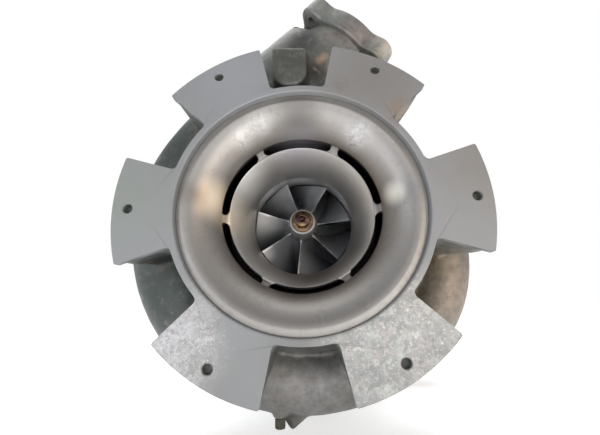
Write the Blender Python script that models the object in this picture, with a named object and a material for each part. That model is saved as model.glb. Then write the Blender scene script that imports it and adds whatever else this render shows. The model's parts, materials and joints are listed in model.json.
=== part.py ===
"""Marine turbocharger: compressor end with a six-pad inlet, bearing housing on a foot, turbine end.

Every piece is drawn in the shaft's own frame: x to the right, y along the shaft from the plane of
the inlet pads into the machine, z up, with the origin on the shaft axis. The objects are then placed
so that the underside of the foot is at z = 0 and its centre is at x = y = 0.
"""

from math import atan2, cos, pi, radians, sin, sqrt

import bmesh
import bpy
from mathutils import Matrix, Vector

# Place of the shaft frame
SHAFT_HEIGHT = 0.400
FOOT_CENTRE_DEPTH = 0.430

# Gap between pieces that touch, and how round the pieces are
SEAT_GAP = 0.0003
ROUND_STEPS = 36
SMALL_STEPS = 20
SECTION_STEPS = 14

# Inlet end
PAD_COUNT = 6
PAD_OUTER_R = 0.320
PAD_THICKNESS = 0.012
LEG_CORNER = 0.021
LEG_INSET = 0.003
LEG_SIDE_INSET = 0.003
PAD_HALF_ANGLE = radians(17.3)
BOLT_CIRCLE_R = 0.294
TAPPED_HOLE_R = 0.0083
TAPPED_HOLE_DEPTH = 0.040
RING_OUTER_R = 0.2277
RING_INNER_R = 0.2160
RING_EDGE_ROUND = 0.003
RIM_STEP = 0.012
FRONT_WALL_DEPTH = 0.085
LEG_ROOT_R = 0.300
LEG_ROOT_DEPTH = 0.172
LEG_ROOT_BACK_R = 0.275
LEG_ROOT_TAPER = 0.8

# Bell-mouth, slot and shroud
LIP_INNER_R = 0.2045
FLARE_START_SLOPE = radians(12)
FLARE_END_SLOPE = radians(62)
NOSE_START_SLOPE = radians(54)
NOSE_END_SLOPE = radians(90)
SLOT_OUTER_R = 0.148
SLOT_OUTER_DEPTH = 0.057
SLOT_INNER_R = 0.1356
SLOT_INNER_DEPTH = 0.0693
CHANNEL_OUTER_R = 0.1545
CHANNEL_INNER_R = 0.1415
CHANNEL_DEPTH = 0.150
INSERT_R = 0.190
THROAT_R = 0.105
THROAT_DEPTH = 0.163
RIB_COUNT = 6
RIB_FIRST_ANGLE = radians(2)
RIB_HALF_WIDTH_IN = 0.0105
RIB_HALF_WIDTH_OUT = 0.0050

# Compressor wheel
RUNNING_GAP = 0.0052
WHEEL_NOSE_R = 0.026
WHEEL_NOSE_DEPTH = 0.1295
BLADE_EDGE_DEPTH = 0.166
BLADE_TIP_R = 0.0995
BLADE_ROOT_R = 0.032
WHEEL_EXIT_R = 0.155
WHEEL_EXIT_TIP_DEPTH = 0.242
WHEEL_EXIT_HUB_DEPTH = 0.260
WHEEL_BACK_DEPTH = 0.266
BLADE_COUNT = 7
BLADE_FIRST_ANGLE = radians(5)
BLADE_WRAP = radians(55)
SPLITTER_START = 0.35
NUT_FLAT_R = 0.0170
NUT_LENGTH = 0.022
NUT_FLANGE_R = 0.0222
NUT_FLANGE = 0.006
NUT_BORE_R = 0.006

# Compressor scroll
SCROLL_DEPTH = 0.180
SCROLL_OUTER_R = 0.366
SCROLL_SMALL_HALF = 0.034
SCROLL_LARGE_HALF = 0.090
CORE_R = 0.262
CORE_BACK_DEPTH = 0.272
CORE_FRONT_DEPTH = 0.0856
CORE_SHOULDER_DEPTH = 0.130
SCROLL_START = radians(38)
SCROLL_END = radians(-210)
NOZZLE_OFFSET = 0.210
NOZZLE_REACH = 0.370
NOZZLE_ANGLE = radians(47)
NOZZLE_R = 0.118
NOZZLE_HALF_DEPTH = 0.110
NECK_SWELL = 0.015
NOZZLE_BORE_R = 0.080
NOZZLE_BORE_DEPTH = 0.195
DISCHARGE_FLANGE_THICKNESS = 0.046
FLANGE_R = 0.121
EAR_CIRCLE_R = 0.122
EAR_R = 0.028
EAR_POCKET_R = 0.031
EAR_POCKET_DEPTH = 0.034
EAR_HOLE_R = 0.009
LUG_TIP = (-0.0325, -0.3885)
LUG_NEAR = 0.161
LUG_FAR = 0.200
DRAIN_PLACE = (-0.0526, 0.149, -0.363)
DRAIN_BOSS_R = 0.013
DRAIN_BOSS_LENGTH = 0.040
DRAIN_PLUG_R = 0.010
DRAIN_PLUG_LENGTH = 0.015
TOP_BOSS_PLACE = (-0.016, 0.310)
TOP_BOSS_R = 0.037
TOP_BOSS_NEAR = 0.056
TOP_BOSS_TOP = 0.366
TOP_BOSS_FAR = 0.160

# Bearing housing
BACK_PLATE_R = 0.235
BACK_PLATE_END = 0.297
HOUSING_END = 0.520
BARREL_R = 0.150
FLANGE_DEPTH = 0.021
REAR_FLANGE_R = 0.200
BUSH_OUTER_R = 0.034
SHAFT_R = 0.020
BUSH_BORE_R = 0.0207
COLLAR_R = 0.0245
COLLAR_BORE_R = 0.0300

# Foot
FOOT_HALF_WIDTH = 0.115
FOOT_NEAR_DEPTH = 0.355
FOOT_FAR_DEPTH = 0.560
FOOT_PLATE = 0.028
WEB_HALF_WIDTH = 0.090
WEB_SPREAD = 0.015
WEB_HALF_LENGTH = 0.050
WEB_TOP = -0.080

# Turbine end
TURBINE_DEPTH = 0.592
TURBINE_FRONT = 0.5203
TURBINE_BACK = 0.660
TURBINE_CORE_R = 0.232
TURBINE_SCROLL_R = 0.325
TURBINE_TIP_R = 0.132
TURBINE_WHEEL_FRONT = 0.5385
TURBINE_INLET_WIDTH = 0.024
EXDUCER_R = 0.102
EXDUCER_DEPTH = 0.606
EXDUCER_HUB_R = 0.036
TURBINE_BLADES = 11
GAS_BORE_R = 0.080
GAS_SCROLL_SMALL_HALF = 0.046
GAS_SCROLL_HALF = 0.064
GAS_SCROLL_START = radians(-40)
GAS_SCROLL_END = radians(270)
GAS_NOZZLE_R = 0.097
GAS_OFFSET = 0.205
GAS_REACH = 0.375
GAS_BORE_DEPTH = 0.200
GAS_FLANGE_THICKNESS = 0.024
OUTLET_END = 0.800
OUTLET_THROAT_R = 0.1075
OUTLET_MOUTH_R = 0.130
OUTLET_WALL = 0.014
OUTLET_FLANGE_R = 0.182


# Materials


def material(name, colour, roughness, metallic):
    """A Principled material with one plain colour."""
    slot = bpy.data.materials.get(name) or bpy.data.materials.new(name)
    slot.use_nodes = True
    shader = slot.node_tree.nodes["Principled BSDF"]
    shader.inputs["Base Color"].default_value = (*colour, 1.0)
    shader.inputs["Roughness"].default_value = roughness
    shader.inputs["Metallic"].default_value = metallic
    return slot


def finishes():
    """The finishes of the turbocharger, by name."""
    return {
        "cast_casing": material("cast_casing", (0.16, 0.15, 0.14), 0.6, 0.5),
        "machined_pad": material("machined_pad", (0.36, 0.37, 0.39), 0.4, 0.9),
        "turned_bellmouth": material("turned_bellmouth", (0.34, 0.33, 0.32), 0.3, 0.9),
        "milled_wheel": material("milled_wheel", (0.42, 0.41, 0.40), 0.25, 1.0),
        "bronzed_nut": material("bronzed_nut", (0.36, 0.24, 0.10), 0.35, 1.0),
        "forged_steel": material("forged_steel", (0.30, 0.30, 0.30), 0.35, 1.0),
        "grey_housing": material("grey_housing", (0.17, 0.18, 0.18), 0.55, 0.2),
        "hot_casting": material("hot_casting", (0.13, 0.10, 0.08), 0.75, 0.4),
        "plated_fitting": material("plated_fitting", (0.40, 0.38, 0.33), 0.4, 1.0),
        "bearing_bronze": material("bearing_bronze", (0.40, 0.27, 0.12), 0.35, 1.0),
    }


# Building blocks


def finished(name, mesh_data, slot, parent):
    """Close a bmesh into a named object in the shaft frame, with its faces pointing out."""
    bmesh.ops.remove_doubles(mesh_data, verts=mesh_data.verts, dist=1e-6)
    bmesh.ops.recalc_face_normals(mesh_data, faces=mesh_data.faces)
    mesh = bpy.data.meshes.new(name)
    mesh_data.to_mesh(mesh)
    mesh_data.free()
    mesh.materials.append(slot)
    mesh.shade_smooth()
    mesh.set_sharp_from_angle(angle=radians(35))
    piece = bpy.data.objects.new(name, mesh)
    bpy.context.collection.objects.link(piece)
    piece.parent = parent
    return piece


def turned(name, profile, slot, parent, steps=ROUND_STEPS):
    """Turn a closed outline of (radius, depth) points round the shaft axis."""
    shape = bmesh.new()
    ring = [shape.verts.new((radius, depth, 0.0)) for radius, depth in profile]
    edges = [shape.edges.new((ring[i], ring[(i + 1) % len(ring)])) for i in range(len(ring))]
    bmesh.ops.spin(shape, geom=ring + edges, cent=(0, 0, 0), axis=(0, 1, 0),
                   angle=2 * pi, steps=steps, use_merge=True)
    return finished(name, shape, slot, parent)


def drum(name, radius, near, far, slot, parent):
    """A solid drum on the shaft axis, with its facets in step with the turned pieces."""
    return turned(name, [(0, near), (radius, near), (radius, far), (0, far)], slot, parent)


def extruded(name, outline, near, far, slot, parent):
    """Extrude a closed outline of (x, z) points along the shaft from one depth to another."""
    shape = bmesh.new()
    face = shape.faces.new([shape.verts.new((x, near, z)) for x, z in outline])
    grown = bmesh.ops.extrude_face_region(shape, geom=[face])
    moved = [item for item in grown["geom"] if isinstance(item, bmesh.types.BMVert)]
    bmesh.ops.translate(shape, verts=moved, vec=(0, far - near, 0))
    return finished(name, shape, slot, parent)


def rod(name, centre, direction, radius, length, slot, parent, steps=SMALL_STEPS):
    """A round bar from a point along a direction."""
    shape = bmesh.new()
    bmesh.ops.create_cone(shape, cap_ends=True, segments=steps, radius1=radius,
                          radius2=radius, depth=length)
    turn = Vector(direction).to_track_quat("Z", "Y").to_matrix().to_4x4()
    middle = Vector(centre) + Vector(direction).normalized() * length / 2
    bmesh.ops.transform(shape, matrix=Matrix.Translation(middle) @ turn, verts=shape.verts)
    return finished(name, shape, slot, parent)


def guide(piece):
    """Mark an object as a tool that shapes another one."""
    piece.hide_render = True
    piece.display_type = "WIRE"
    return piece


def combine(piece, tool, operation):
    """Join a tool to a piece, or cut it away, with a live Boolean."""
    step = piece.modifiers.new(f"{operation.lower()} {tool.name}", "BOOLEAN")
    step.operation = operation
    step.solver = "EXACT"
    step.object = guide(tool)


def arc(centre, radius, start, end, count):
    """Points on an arc, both ends included."""
    return [(centre[0] + radius * cos(start + (end - start) * i / count),
             centre[1] + radius * sin(start + (end - start) * i / count))
            for i in range(count + 1)]


def inward_curve(start, end, first_slope, last_slope, count):
    """A hollow curve of (radius, depth) points that dives from one slope to a steeper one."""
    span = last_slope - first_slope
    chord = Vector((start[0] - end[0], end[1] - start[1]))
    points = []
    for i in range(count + 1):
        bend = first_slope + span * i / count
        across = (sin(bend) - sin(first_slope)) / (sin(last_slope) - sin(first_slope))
        down = (cos(first_slope) - cos(bend)) / (cos(first_slope) - cos(last_slope))
        points.append((start[0] - chord[0] * across, start[1] + chord[1] * down))
    return points


def skin(name, rings, slot, parent):
    """Join rings of points into one closed body, with a flat cap on each end ring."""
    shape = bmesh.new()
    rows = [[shape.verts.new(point) for point in ring] for ring in rings]
    for near, far in zip(rows, rows[1:]):
        for i in range(len(near)):
            j = (i + 1) % len(near)
            shape.faces.new((near[i], near[j], far[j], far[i]))
    shape.faces.new(rows[0])
    shape.faces.new(rows[-1])
    return finished(name, shape, slot, parent)


# Scrolls


def oval_ring(centre, angle, half_in_plane, half_axial, depth):
    """A section of a scroll: an oval across a path that runs in the x-z plane."""
    outward = Vector((cos(angle), 0, sin(angle)))
    middle = Vector((centre[0], depth, centre[1]))
    along_shaft = Vector((0, 1, 0))
    return [middle + outward * half_in_plane * cos(turn) + along_shaft * half_axial * sin(turn)
            for turn in (2 * pi * i / SECTION_STEPS for i in range(SECTION_STEPS))]


def smooth_step(value):
    """Zero to one with level ends."""
    value = min(max(value, 0.0), 1.0)
    return value * value * (3 - 2 * value)


def scroll_rings(start, end, outer_r, small, large, depth, count):
    """Oval sections round the shaft, growing from the small to the large half-size."""
    rings = []
    for i in range(count + 1):
        share = i / count
        angle = start + (end - start) * share
        half = small + (large - small) * share
        grown_in = smooth_step(share * 3.2)
        reach = outer_r - (1 - grown_in) * (large - small) * 0.85
        centre_r = reach - half
        centre = (centre_r * cos(angle), centre_r * sin(angle))
        rings.append(oval_ring(centre, angle, half, min(half * 1.05, large), depth))
    return rings


def bezier(points, share):
    """A point on a cubic curve."""
    back = 1 - share
    weights = (back ** 3, 3 * back * back * share, 3 * back * share * share, share ** 3)
    return Vector((sum(w * p[0] for w, p in zip(weights, points)),
                   sum(w * p[1] for w, p in zip(weights, points))))


def neck_rings(scroll_centre, scroll_angle, turn_side, mouth, mouth_angle, size_at, depth, count):
    """Oval sections from the scroll's end to the mouth of its nozzle."""
    leave = scroll_angle + turn_side * pi / 2
    handle = (Vector(mouth) - Vector(scroll_centre)).length * 0.38
    points = (Vector(scroll_centre),
              Vector(scroll_centre) + handle * Vector((cos(leave), sin(leave))),
              Vector(mouth) - handle * Vector((cos(mouth_angle), sin(mouth_angle))),
              Vector(mouth))
    rings = []
    for i in range(1, count + 1):
        share = i / count
        here = bezier(points, share)
        ahead = bezier(points, share + 1e-3) - bezier(points, share - 1e-3)
        heading = atan2(ahead[1], ahead[0])
        outward = heading - turn_side * pi / 2
        half_in_plane, half_axial, shift = size_at(share)
        middle = (here[0] + shift * cos(outward), here[1] + shift * sin(outward))
        rings.append(oval_ring(middle, outward, half_in_plane, half_axial, depth))
    return rings


def gas_neck_size(share):
    """Half sizes of the turbine's neck, which stays round and in the middle of its path."""
    small = GAS_SCROLL_HALF - 0.003
    half = small + (GAS_NOZZLE_R - small) * smooth_step(share)
    return half, half, 0.0


def discharge_neck_size(share):
    """Half sizes of the discharge neck, which swells outward and ends in a shoulder."""
    swell = NECK_SWELL * smooth_step((share - 0.30) / 0.40) * (1 - smooth_step((share - 0.92) / 0.08))
    in_plane = SCROLL_LARGE_HALF + (NOZZLE_R - SCROLL_LARGE_HALF) * smooth_step(share) + swell
    grown = smooth_step((share - 0.55) / 0.35)
    axial = SCROLL_LARGE_HALF + (NOZZLE_HALF_DEPTH - SCROLL_LARGE_HALF) * grown
    return in_plane, axial, swell


def nozzle_mouth():
    """Centre of the discharge nozzle's mouth in the x-z plane."""
    along = Vector((cos(NOZZLE_ANGLE), sin(NOZZLE_ANGLE)))
    aside = Vector((-sin(NOZZLE_ANGLE), cos(NOZZLE_ANGLE)))
    return along * NOZZLE_REACH + aside * NOZZLE_OFFSET


# Inlet end


def on_facets(radius, angle):
    """A point on the facets of a turned piece: its distance from the axis dips between corners."""
    facet = 2 * pi / ROUND_STEPS
    off = angle % facet - facet / 2
    reach = radius * cos(facet / 2) / cos(off)
    return reach * cos(angle), reach * sin(angle)


def inlet_pads(looks, parent):
    """Six bolting pads, each the end of a leg that stands on the front wall of the scroll."""
    for index in range(PAD_COUNT):
        middle = 2 * pi * index / PAD_COUNT
        start, end = middle - PAD_HALF_ANGLE, middle + PAD_HALF_ANGLE
        corners = [middle + k * 2 * pi / ROUND_STEPS for k in (1, 0, -1)]
        outline = arc((0, 0), PAD_OUTER_R, start, end, 6)
        outline += [on_facets(RING_OUTER_R + SEAT_GAP, turn) for turn in [end, *corners, start]]
        name = f"inlet_pad_{index + 1}"
        pad = extruded(name, outline, 0, PAD_THICKNESS, looks["machined_pad"], parent)
        bevel = LEG_CORNER / PAD_OUTER_R
        first, last = start + LEG_SIDE_INSET, end - LEG_SIDE_INSET
        side_r, outer_r = PAD_OUTER_R - LEG_CORNER, PAD_OUTER_R - LEG_INSET
        leg_outline = [(side_r * cos(first), side_r * sin(first))]
        leg_outline += arc((0, 0), outer_r, first + bevel, last - bevel, 4)
        leg_outline += [(side_r * cos(last), side_r * sin(last))]
        leg_outline += [on_facets(RING_OUTER_R + 2 * SEAT_GAP, turn)
                        for turn in [last, *corners, first]]
        leg = extruded(f"{name}_leg", leg_outline, 0.5 * PAD_THICKNESS, FRONT_WALL_DEPTH - SEAT_GAP,
                       looks["machined_pad"], parent)
        combine(pad, leg, "UNION")
        place = (BOLT_CIRCLE_R * cos(middle), -0.01, BOLT_CIRCLE_R * sin(middle))
        hole = rod(f"{name}_hole", place, (0, 1, 0), TAPPED_HOLE_R, TAPPED_HOLE_DEPTH + 0.01,
                   looks["machined_pad"], parent, steps=12)
        combine(pad, hole, "DIFFERENCE")


def inlet_ring(looks, parent):
    """Drum wall whose machined front face joins the pads, with a rounded inner edge."""
    far = FRONT_WALL_DEPTH - SEAT_GAP
    edge = RING_EDGE_ROUND
    profile = [(RING_INNER_R, edge), (RING_INNER_R + 0.3 * edge, 0.3 * edge), (RING_INNER_R + edge, 0),
               (RING_OUTER_R, 0), (RING_OUTER_R, far), (RING_INNER_R, far)]
    return turned("inlet_ring", profile, looks["machined_pad"], parent)


def bellmouth(looks, parent):
    """Flared inlet insert with a flat lip and the outer wall of the recirculation channel."""
    rim_r = RING_INNER_R - SEAT_GAP
    profile = [(rim_r, RIM_STEP)]
    profile += inward_curve((LIP_INNER_R, RIM_STEP), (SLOT_OUTER_R, SLOT_OUTER_DEPTH),
                            FLARE_START_SLOPE, FLARE_END_SLOPE, 6)
    profile += [(SLOT_OUTER_R + 0.001, SLOT_OUTER_DEPTH + 0.005),
                (CHANNEL_OUTER_R, SLOT_OUTER_DEPTH + 0.026),
                (CHANNEL_OUTER_R, CHANNEL_DEPTH),
                (INSERT_R, CHANNEL_DEPTH),
                (INSERT_R, FRONT_WALL_DEPTH - SEAT_GAP),
                (rim_r, FRONT_WALL_DEPTH - SEAT_GAP)]
    return turned("bellmouth", profile, looks["turned_bellmouth"], parent)


def wheel_tip_line(share):
    """Tip of a compressor blade: radius and depth, from leading to trailing edge."""
    turn = pi / 2 * share
    reach = WHEEL_EXIT_R - BLADE_TIP_R
    run = WHEEL_EXIT_TIP_DEPTH - BLADE_EDGE_DEPTH
    return BLADE_TIP_R + reach * (1 - cos(turn)) ** 1.15, BLADE_EDGE_DEPTH + run * sin(turn)


def wheel_hub_line(share):
    """Hub of the compressor wheel: radius and depth, from leading to trailing edge."""
    turn = pi / 2 * share
    reach = WHEEL_EXIT_R - BLADE_ROOT_R
    run = WHEEL_EXIT_HUB_DEPTH - BLADE_EDGE_DEPTH
    return BLADE_ROOT_R + reach * (1 - cos(turn)), BLADE_EDGE_DEPTH + run * sin(turn)


def offset_line(line, count, gap):
    """The line moved sideways, away from the wheel, by the running gap."""
    points = []
    for i in range(count + 1):
        share = i / count
        here = line(share)
        before = line(max(share - 0.01, 0.0))
        after = line(min(share + 0.01, 1.0))
        run = Vector((after[0] - before[0], after[1] - before[1])).normalized()
        points.append((here[0] + run[1] * gap, here[1] - run[0] * gap))
    return points


def shroud_ring(looks, parent):
    """Inner ring with the rounded nose, throat and wheel contour, and the six ribs of the slot."""
    nose = inward_curve((SLOT_INNER_R, SLOT_INNER_DEPTH), (THROAT_R, THROAT_DEPTH),
                        NOSE_START_SLOPE, NOSE_END_SLOPE, 5)
    contour = offset_line(wheel_tip_line, 5, RUNNING_GAP)
    contour_back = contour[-1][1]
    profile = nose + contour
    profile += [(INSERT_R, contour_back), (INSERT_R, CHANNEL_DEPTH + SEAT_GAP),
                (CHANNEL_INNER_R, CHANNEL_DEPTH + SEAT_GAP),
                (CHANNEL_INNER_R, SLOT_INNER_DEPTH + 0.016),
                (SLOT_INNER_R + 0.002, SLOT_INNER_DEPTH + 0.003)]
    ring = turned("shroud_ring", profile, looks["turned_bellmouth"], parent)
    for index in range(RIB_COUNT):
        combine(ring, rib(index, looks, parent), "UNION")
    return ring


def rib(index, looks, parent):
    """One rib across the slot, wide at the shroud ring and narrow at the bell-mouth."""
    side = [(SLOT_INNER_R + 0.0005, SLOT_INNER_DEPTH + 0.0035),
            (SLOT_OUTER_R - SEAT_GAP, SLOT_OUTER_DEPTH + 0.0045),
            (SLOT_OUTER_R + 0.0005, SLOT_OUTER_DEPTH + 0.0080),
            (CHANNEL_OUTER_R - 0.0008, SLOT_OUTER_DEPTH + 0.028),
            (CHANNEL_OUTER_R - 0.0008, SLOT_OUTER_DEPTH + 0.060),
            (SLOT_INNER_R - 0.002, SLOT_OUTER_DEPTH + 0.060),
            (SLOT_INNER_R - 0.002, SLOT_INNER_DEPTH + 0.008)]
    widths = [RIB_HALF_WIDTH_IN, RIB_HALF_WIDTH_OUT, RIB_HALF_WIDTH_OUT, RIB_HALF_WIDTH_OUT,
              RIB_HALF_WIDTH_OUT, RIB_HALF_WIDTH_IN, RIB_HALF_WIDTH_IN]
    turn = Matrix.Rotation(-(RIB_FIRST_ANGLE + 2 * pi * index / RIB_COUNT), 4, "Y")
    rings = []
    for side_sign in (-1, 1):
        rings.append([turn @ Vector((radius, depth, side_sign * width))
                      for (radius, depth), width in zip(side, widths)])
    return skin(f"slot_rib_{index + 1}", rings, looks["turned_bellmouth"], parent)


# Compressor scroll


def compressor_scroll(looks, parent):
    """Cast scroll casing: core drum, growing scroll, neck, leg roots, boss and bottom lug."""
    cast = looks["cast_casing"]
    core = [(INSERT_R - 0.02, CORE_FRONT_DEPTH), (RING_OUTER_R + 0.003, CORE_FRONT_DEPTH),
            (CORE_R, CORE_SHOULDER_DEPTH), (CORE_R, CORE_BACK_DEPTH),
            (INSERT_R - 0.02, CORE_BACK_DEPTH)]
    casing = turned("compressor_scroll", core, cast, parent)
    rings = scroll_rings(SCROLL_START, SCROLL_END, SCROLL_OUTER_R, SCROLL_SMALL_HALF,
                         SCROLL_LARGE_HALF, SCROLL_DEPTH, 28)
    end_r = SCROLL_OUTER_R - SCROLL_LARGE_HALF
    end_centre = (end_r * cos(SCROLL_END), end_r * sin(SCROLL_END))
    rings += neck_rings(end_centre, SCROLL_END, -1, nozzle_mouth(), NOZZLE_ANGLE,
                        discharge_neck_size, SCROLL_DEPTH, 13)
    combine(casing, skin("scroll_tube", rings, cast, parent), "UNION")
    for index in range(PAD_COUNT):
        combine(casing, leg_root(index, cast, parent), "UNION")
    boss_start = (TOP_BOSS_PLACE[0], TOP_BOSS_NEAR, TOP_BOSS_PLACE[1])
    boss = rod("top_boss", boss_start, (0, 1, 0), TOP_BOSS_R, TOP_BOSS_FAR - TOP_BOSS_NEAR, cast,
               parent, steps=SECTION_STEPS)
    combine(casing, boss, "UNION")
    left, right = TOP_BOSS_PLACE[0] - 0.94 * TOP_BOSS_R, TOP_BOSS_PLACE[0] + 0.94 * TOP_BOSS_R
    head = [(left, TOP_BOSS_PLACE[1]), (right, TOP_BOSS_PLACE[1]), (right, TOP_BOSS_TOP),
            (left, TOP_BOSS_TOP)]
    combine(casing, extruded("top_boss_head", head, TOP_BOSS_NEAR + 0.001, TOP_BOSS_FAR - 0.001, cast,
                             parent), "UNION")
    combine(casing, lug_shape(cast, parent), "UNION")
    combine(casing, plug_boss(cast, parent), "UNION")
    combine(casing, nozzle_bore(cast, parent), "DIFFERENCE")
    for index in range(4):
        place, along = ear_place(index)
        pocket = rod(f"ear_pocket_{index + 1}", place - along * EAR_POCKET_DEPTH, along, EAR_POCKET_R,
                     EAR_POCKET_DEPTH + 0.02, cast, parent, steps=SECTION_STEPS)
        combine(casing, pocket, "DIFFERENCE")
    bore = drum("insert_bore", INSERT_R + SEAT_GAP, FRONT_WALL_DEPTH - 0.01, CORE_BACK_DEPTH + 0.01,
                cast, parent)
    combine(casing, bore, "DIFFERENCE")
    return casing


def ear_place(index):
    """Centre of one ear in the plane of the nozzle's mouth, and the way that the nozzle points."""
    along = Vector((cos(NOZZLE_ANGLE), 0, sin(NOZZLE_ANGLE)))
    aside = Vector((-sin(NOZZLE_ANGLE), 0, cos(NOZZLE_ANGLE)))
    turn = pi / 4 + pi / 2 * index
    mouth = nozzle_mouth()
    middle = Vector((mouth[0], SCROLL_DEPTH, mouth[1]))
    return middle + (aside * cos(turn) + Vector((0, 1, 0)) * sin(turn)) * EAR_CIRCLE_R, along


def leg_root(index, slot, parent):
    """Root of one pad's leg: a block that narrows into the scroll behind it."""
    middle = 2 * pi * index / PAD_COUNT
    rings = []
    ends = ((FRONT_WALL_DEPTH, LEG_ROOT_R, 1.0), (LEG_ROOT_DEPTH, LEG_ROOT_BACK_R, LEG_ROOT_TAPER))
    for depth, outer, spread in ends:
        start, end = middle - PAD_HALF_ANGLE * spread, middle + PAD_HALF_ANGLE * spread
        outline = arc((0, 0), outer, start, end, 3) + arc((0, 0), RING_OUTER_R, end, start, 3)
        rings.append([(x, depth, z) for x, z in outline])
    return skin(f"leg_root_{index + 1}", rings, slot, parent)


def nozzle_bore(slot, parent):
    """The air passage seen through the discharge mouth."""
    mouth = nozzle_mouth()
    along = Vector((cos(NOZZLE_ANGLE), 0, sin(NOZZLE_ANGLE)))
    start = Vector((mouth[0], SCROLL_DEPTH, mouth[1])) + along * 0.02
    return rod("nozzle_bore", start, -along, NOZZLE_BORE_R, NOZZLE_BORE_DEPTH + 0.02, slot, parent,
               steps=SMALL_STEPS)


def lug_shape(slot, parent):
    """Pointed lug under the scroll."""
    outline = [(-0.056, -0.330), (-0.0505, -0.362), LUG_TIP, (-0.002, -0.3655), (0.004, -0.330)]
    return extruded("bottom_lug", outline, LUG_NEAR, LUG_FAR, slot, parent)


def plug_boss(slot, parent):
    """Round boss that carries the drain plug, at the left of the lug."""
    x, depth, end = DRAIN_PLACE
    return rod("drain_boss", (x, depth, end + DRAIN_BOSS_LENGTH), (0, 0, -1), DRAIN_BOSS_R,
               DRAIN_BOSS_LENGTH, slot, parent, steps=12)


def drain_plug(looks, parent):
    """Hexagon plug in the boss at the left of the lug."""
    x, depth, end = DRAIN_PLACE
    return rod("drain_plug", (x, depth, end - SEAT_GAP), (0, 0, -1), DRAIN_PLUG_R, DRAIN_PLUG_LENGTH,
               looks["plated_fitting"], parent, steps=6)


def eared_outline(count):
    """Polar outline of the flange: a circle that swells round each of its four bolt ears."""
    points = []
    for i in range(count):
        turn = 2 * pi * i / count
        off = (turn % (pi / 2)) - pi / 4
        reach = FLANGE_R
        side = EAR_CIRCLE_R * sin(off)
        if abs(side) < EAR_R:
            reach = max(reach, EAR_CIRCLE_R * cos(off) + sqrt(EAR_R ** 2 - side ** 2))
        points.append((reach * cos(turn), reach * sin(turn)))
    return points


def discharge_flange(looks, parent):
    """Round flange with four ears on the discharge nozzle, with its bore and bolt holes."""
    along = Vector((cos(NOZZLE_ANGLE), 0, sin(NOZZLE_ANGLE)))
    aside = Vector((-sin(NOZZLE_ANGLE), 0, cos(NOZZLE_ANGLE)))
    shaft_way = Vector((0, 1, 0))
    mouth = nozzle_mouth()
    start = Vector((mouth[0], SCROLL_DEPTH, mouth[1])) + along * SEAT_GAP
    slot = looks["cast_casing"]
    outline = eared_outline(80)
    rings = [[start + along * rise + aside * u + shaft_way * v for u, v in outline]
             for rise in (0, DISCHARGE_FLANGE_THICKNESS)]
    flange = skin("discharge_flange", rings, slot, parent)
    bore = rod("flange_bore", start - along * 0.01, along, NOZZLE_BORE_R,
               DISCHARGE_FLANGE_THICKNESS + 0.02, slot, parent, steps=SMALL_STEPS)
    combine(flange, bore, "DIFFERENCE")
    for index in range(4):
        place = ear_place(index)[0] - along * 0.01
        hole = rod(f"ear_hole_{index + 1}", place, along, EAR_HOLE_R,
                   DISCHARGE_FLANGE_THICKNESS + 0.02, slot, parent, steps=12)
        combine(flange, hole, "DIFFERENCE")
    return flange


# Rotor


def blade(name, first_share, angle, root_line, tip_line, wrap_at, thickness, slot, parent, steps=6):
    """A thin twisted blade between its root and tip lines, sunk a little into the hub."""
    sides = ([], [])
    across = 3
    for i in range(steps + 1):
        share = first_share + (1 - first_share) * i / steps
        root, tip = root_line(share), tip_line(share)
        turn = angle + wrap_at(share)
        for k in range(across):
            rise = -0.10 + 1.10 * k / (across - 1)
            radius = root[0] + (tip[0] - root[0]) * rise
            depth = root[1] + (tip[1] - root[1]) * rise
            half = thickness / 2 * (1.2 - 0.5 * max(rise, 0.0))
            for side_sign, side in zip((-1, 1), sides):
                lean = turn + side_sign * half / radius
                side.append((radius * cos(lean), depth, radius * sin(lean)))
    shape = bmesh.new()
    grids = [[shape.verts.new(point) for point in side] for side in sides]
    for grid in grids:
        for i in range(steps):
            for k in range(across - 1):
                a = i * across + k
                shape.faces.new((grid[a], grid[a + 1], grid[a + across + 1], grid[a + across]))
    border = [i * across for i in range(steps + 1)]
    border += [steps * across + k for k in range(1, across)]
    border += [i * across + across - 1 for i in range(steps - 1, -1, -1)]
    border += [k for k in range(across - 2, 0, -1)]
    for a, b in zip(border, border[1:] + border[:1]):
        shape.faces.new((grids[0][a], grids[0][b], grids[1][b], grids[1][a]))
    return finished(name, shape, slot, parent)


def compressor_wrap(share):
    """How far a compressor blade has turned back at a share of its length."""
    return BLADE_WRAP * (1 - (1 - share) ** 1.8)


def impeller(looks, parent):
    """Compressor wheel: hub with seven full blades and seven splitters."""
    slot = looks["milled_wheel"]
    hub = [(0, WHEEL_NOSE_DEPTH), (WHEEL_NOSE_R, WHEEL_NOSE_DEPTH),
           (WHEEL_NOSE_R + 0.002, WHEEL_NOSE_DEPTH + 0.004)]
    hub += [wheel_hub_line(i / 6) for i in range(7)]
    hub += [(WHEEL_EXIT_R, WHEEL_BACK_DEPTH), (COLLAR_R, WHEEL_BACK_DEPTH), (0, WHEEL_BACK_DEPTH)]
    wheel = turned("impeller", hub, slot, parent)
    for index in range(BLADE_COUNT):
        angle = BLADE_FIRST_ANGLE + 2 * pi * index / BLADE_COUNT
        full = blade(f"blade_{index + 1}", 0.0, angle, wheel_hub_line, wheel_tip_line,
                     compressor_wrap, 0.0045, slot, parent)
        combine(wheel, full, "UNION")
        half_way = angle + pi / BLADE_COUNT
        short = blade(f"splitter_{index + 1}", SPLITTER_START, half_way, wheel_hub_line,
                      wheel_tip_line, compressor_wrap, 0.0040, slot, parent, steps=4)
        combine(wheel, short, "UNION")
    return wheel


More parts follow.
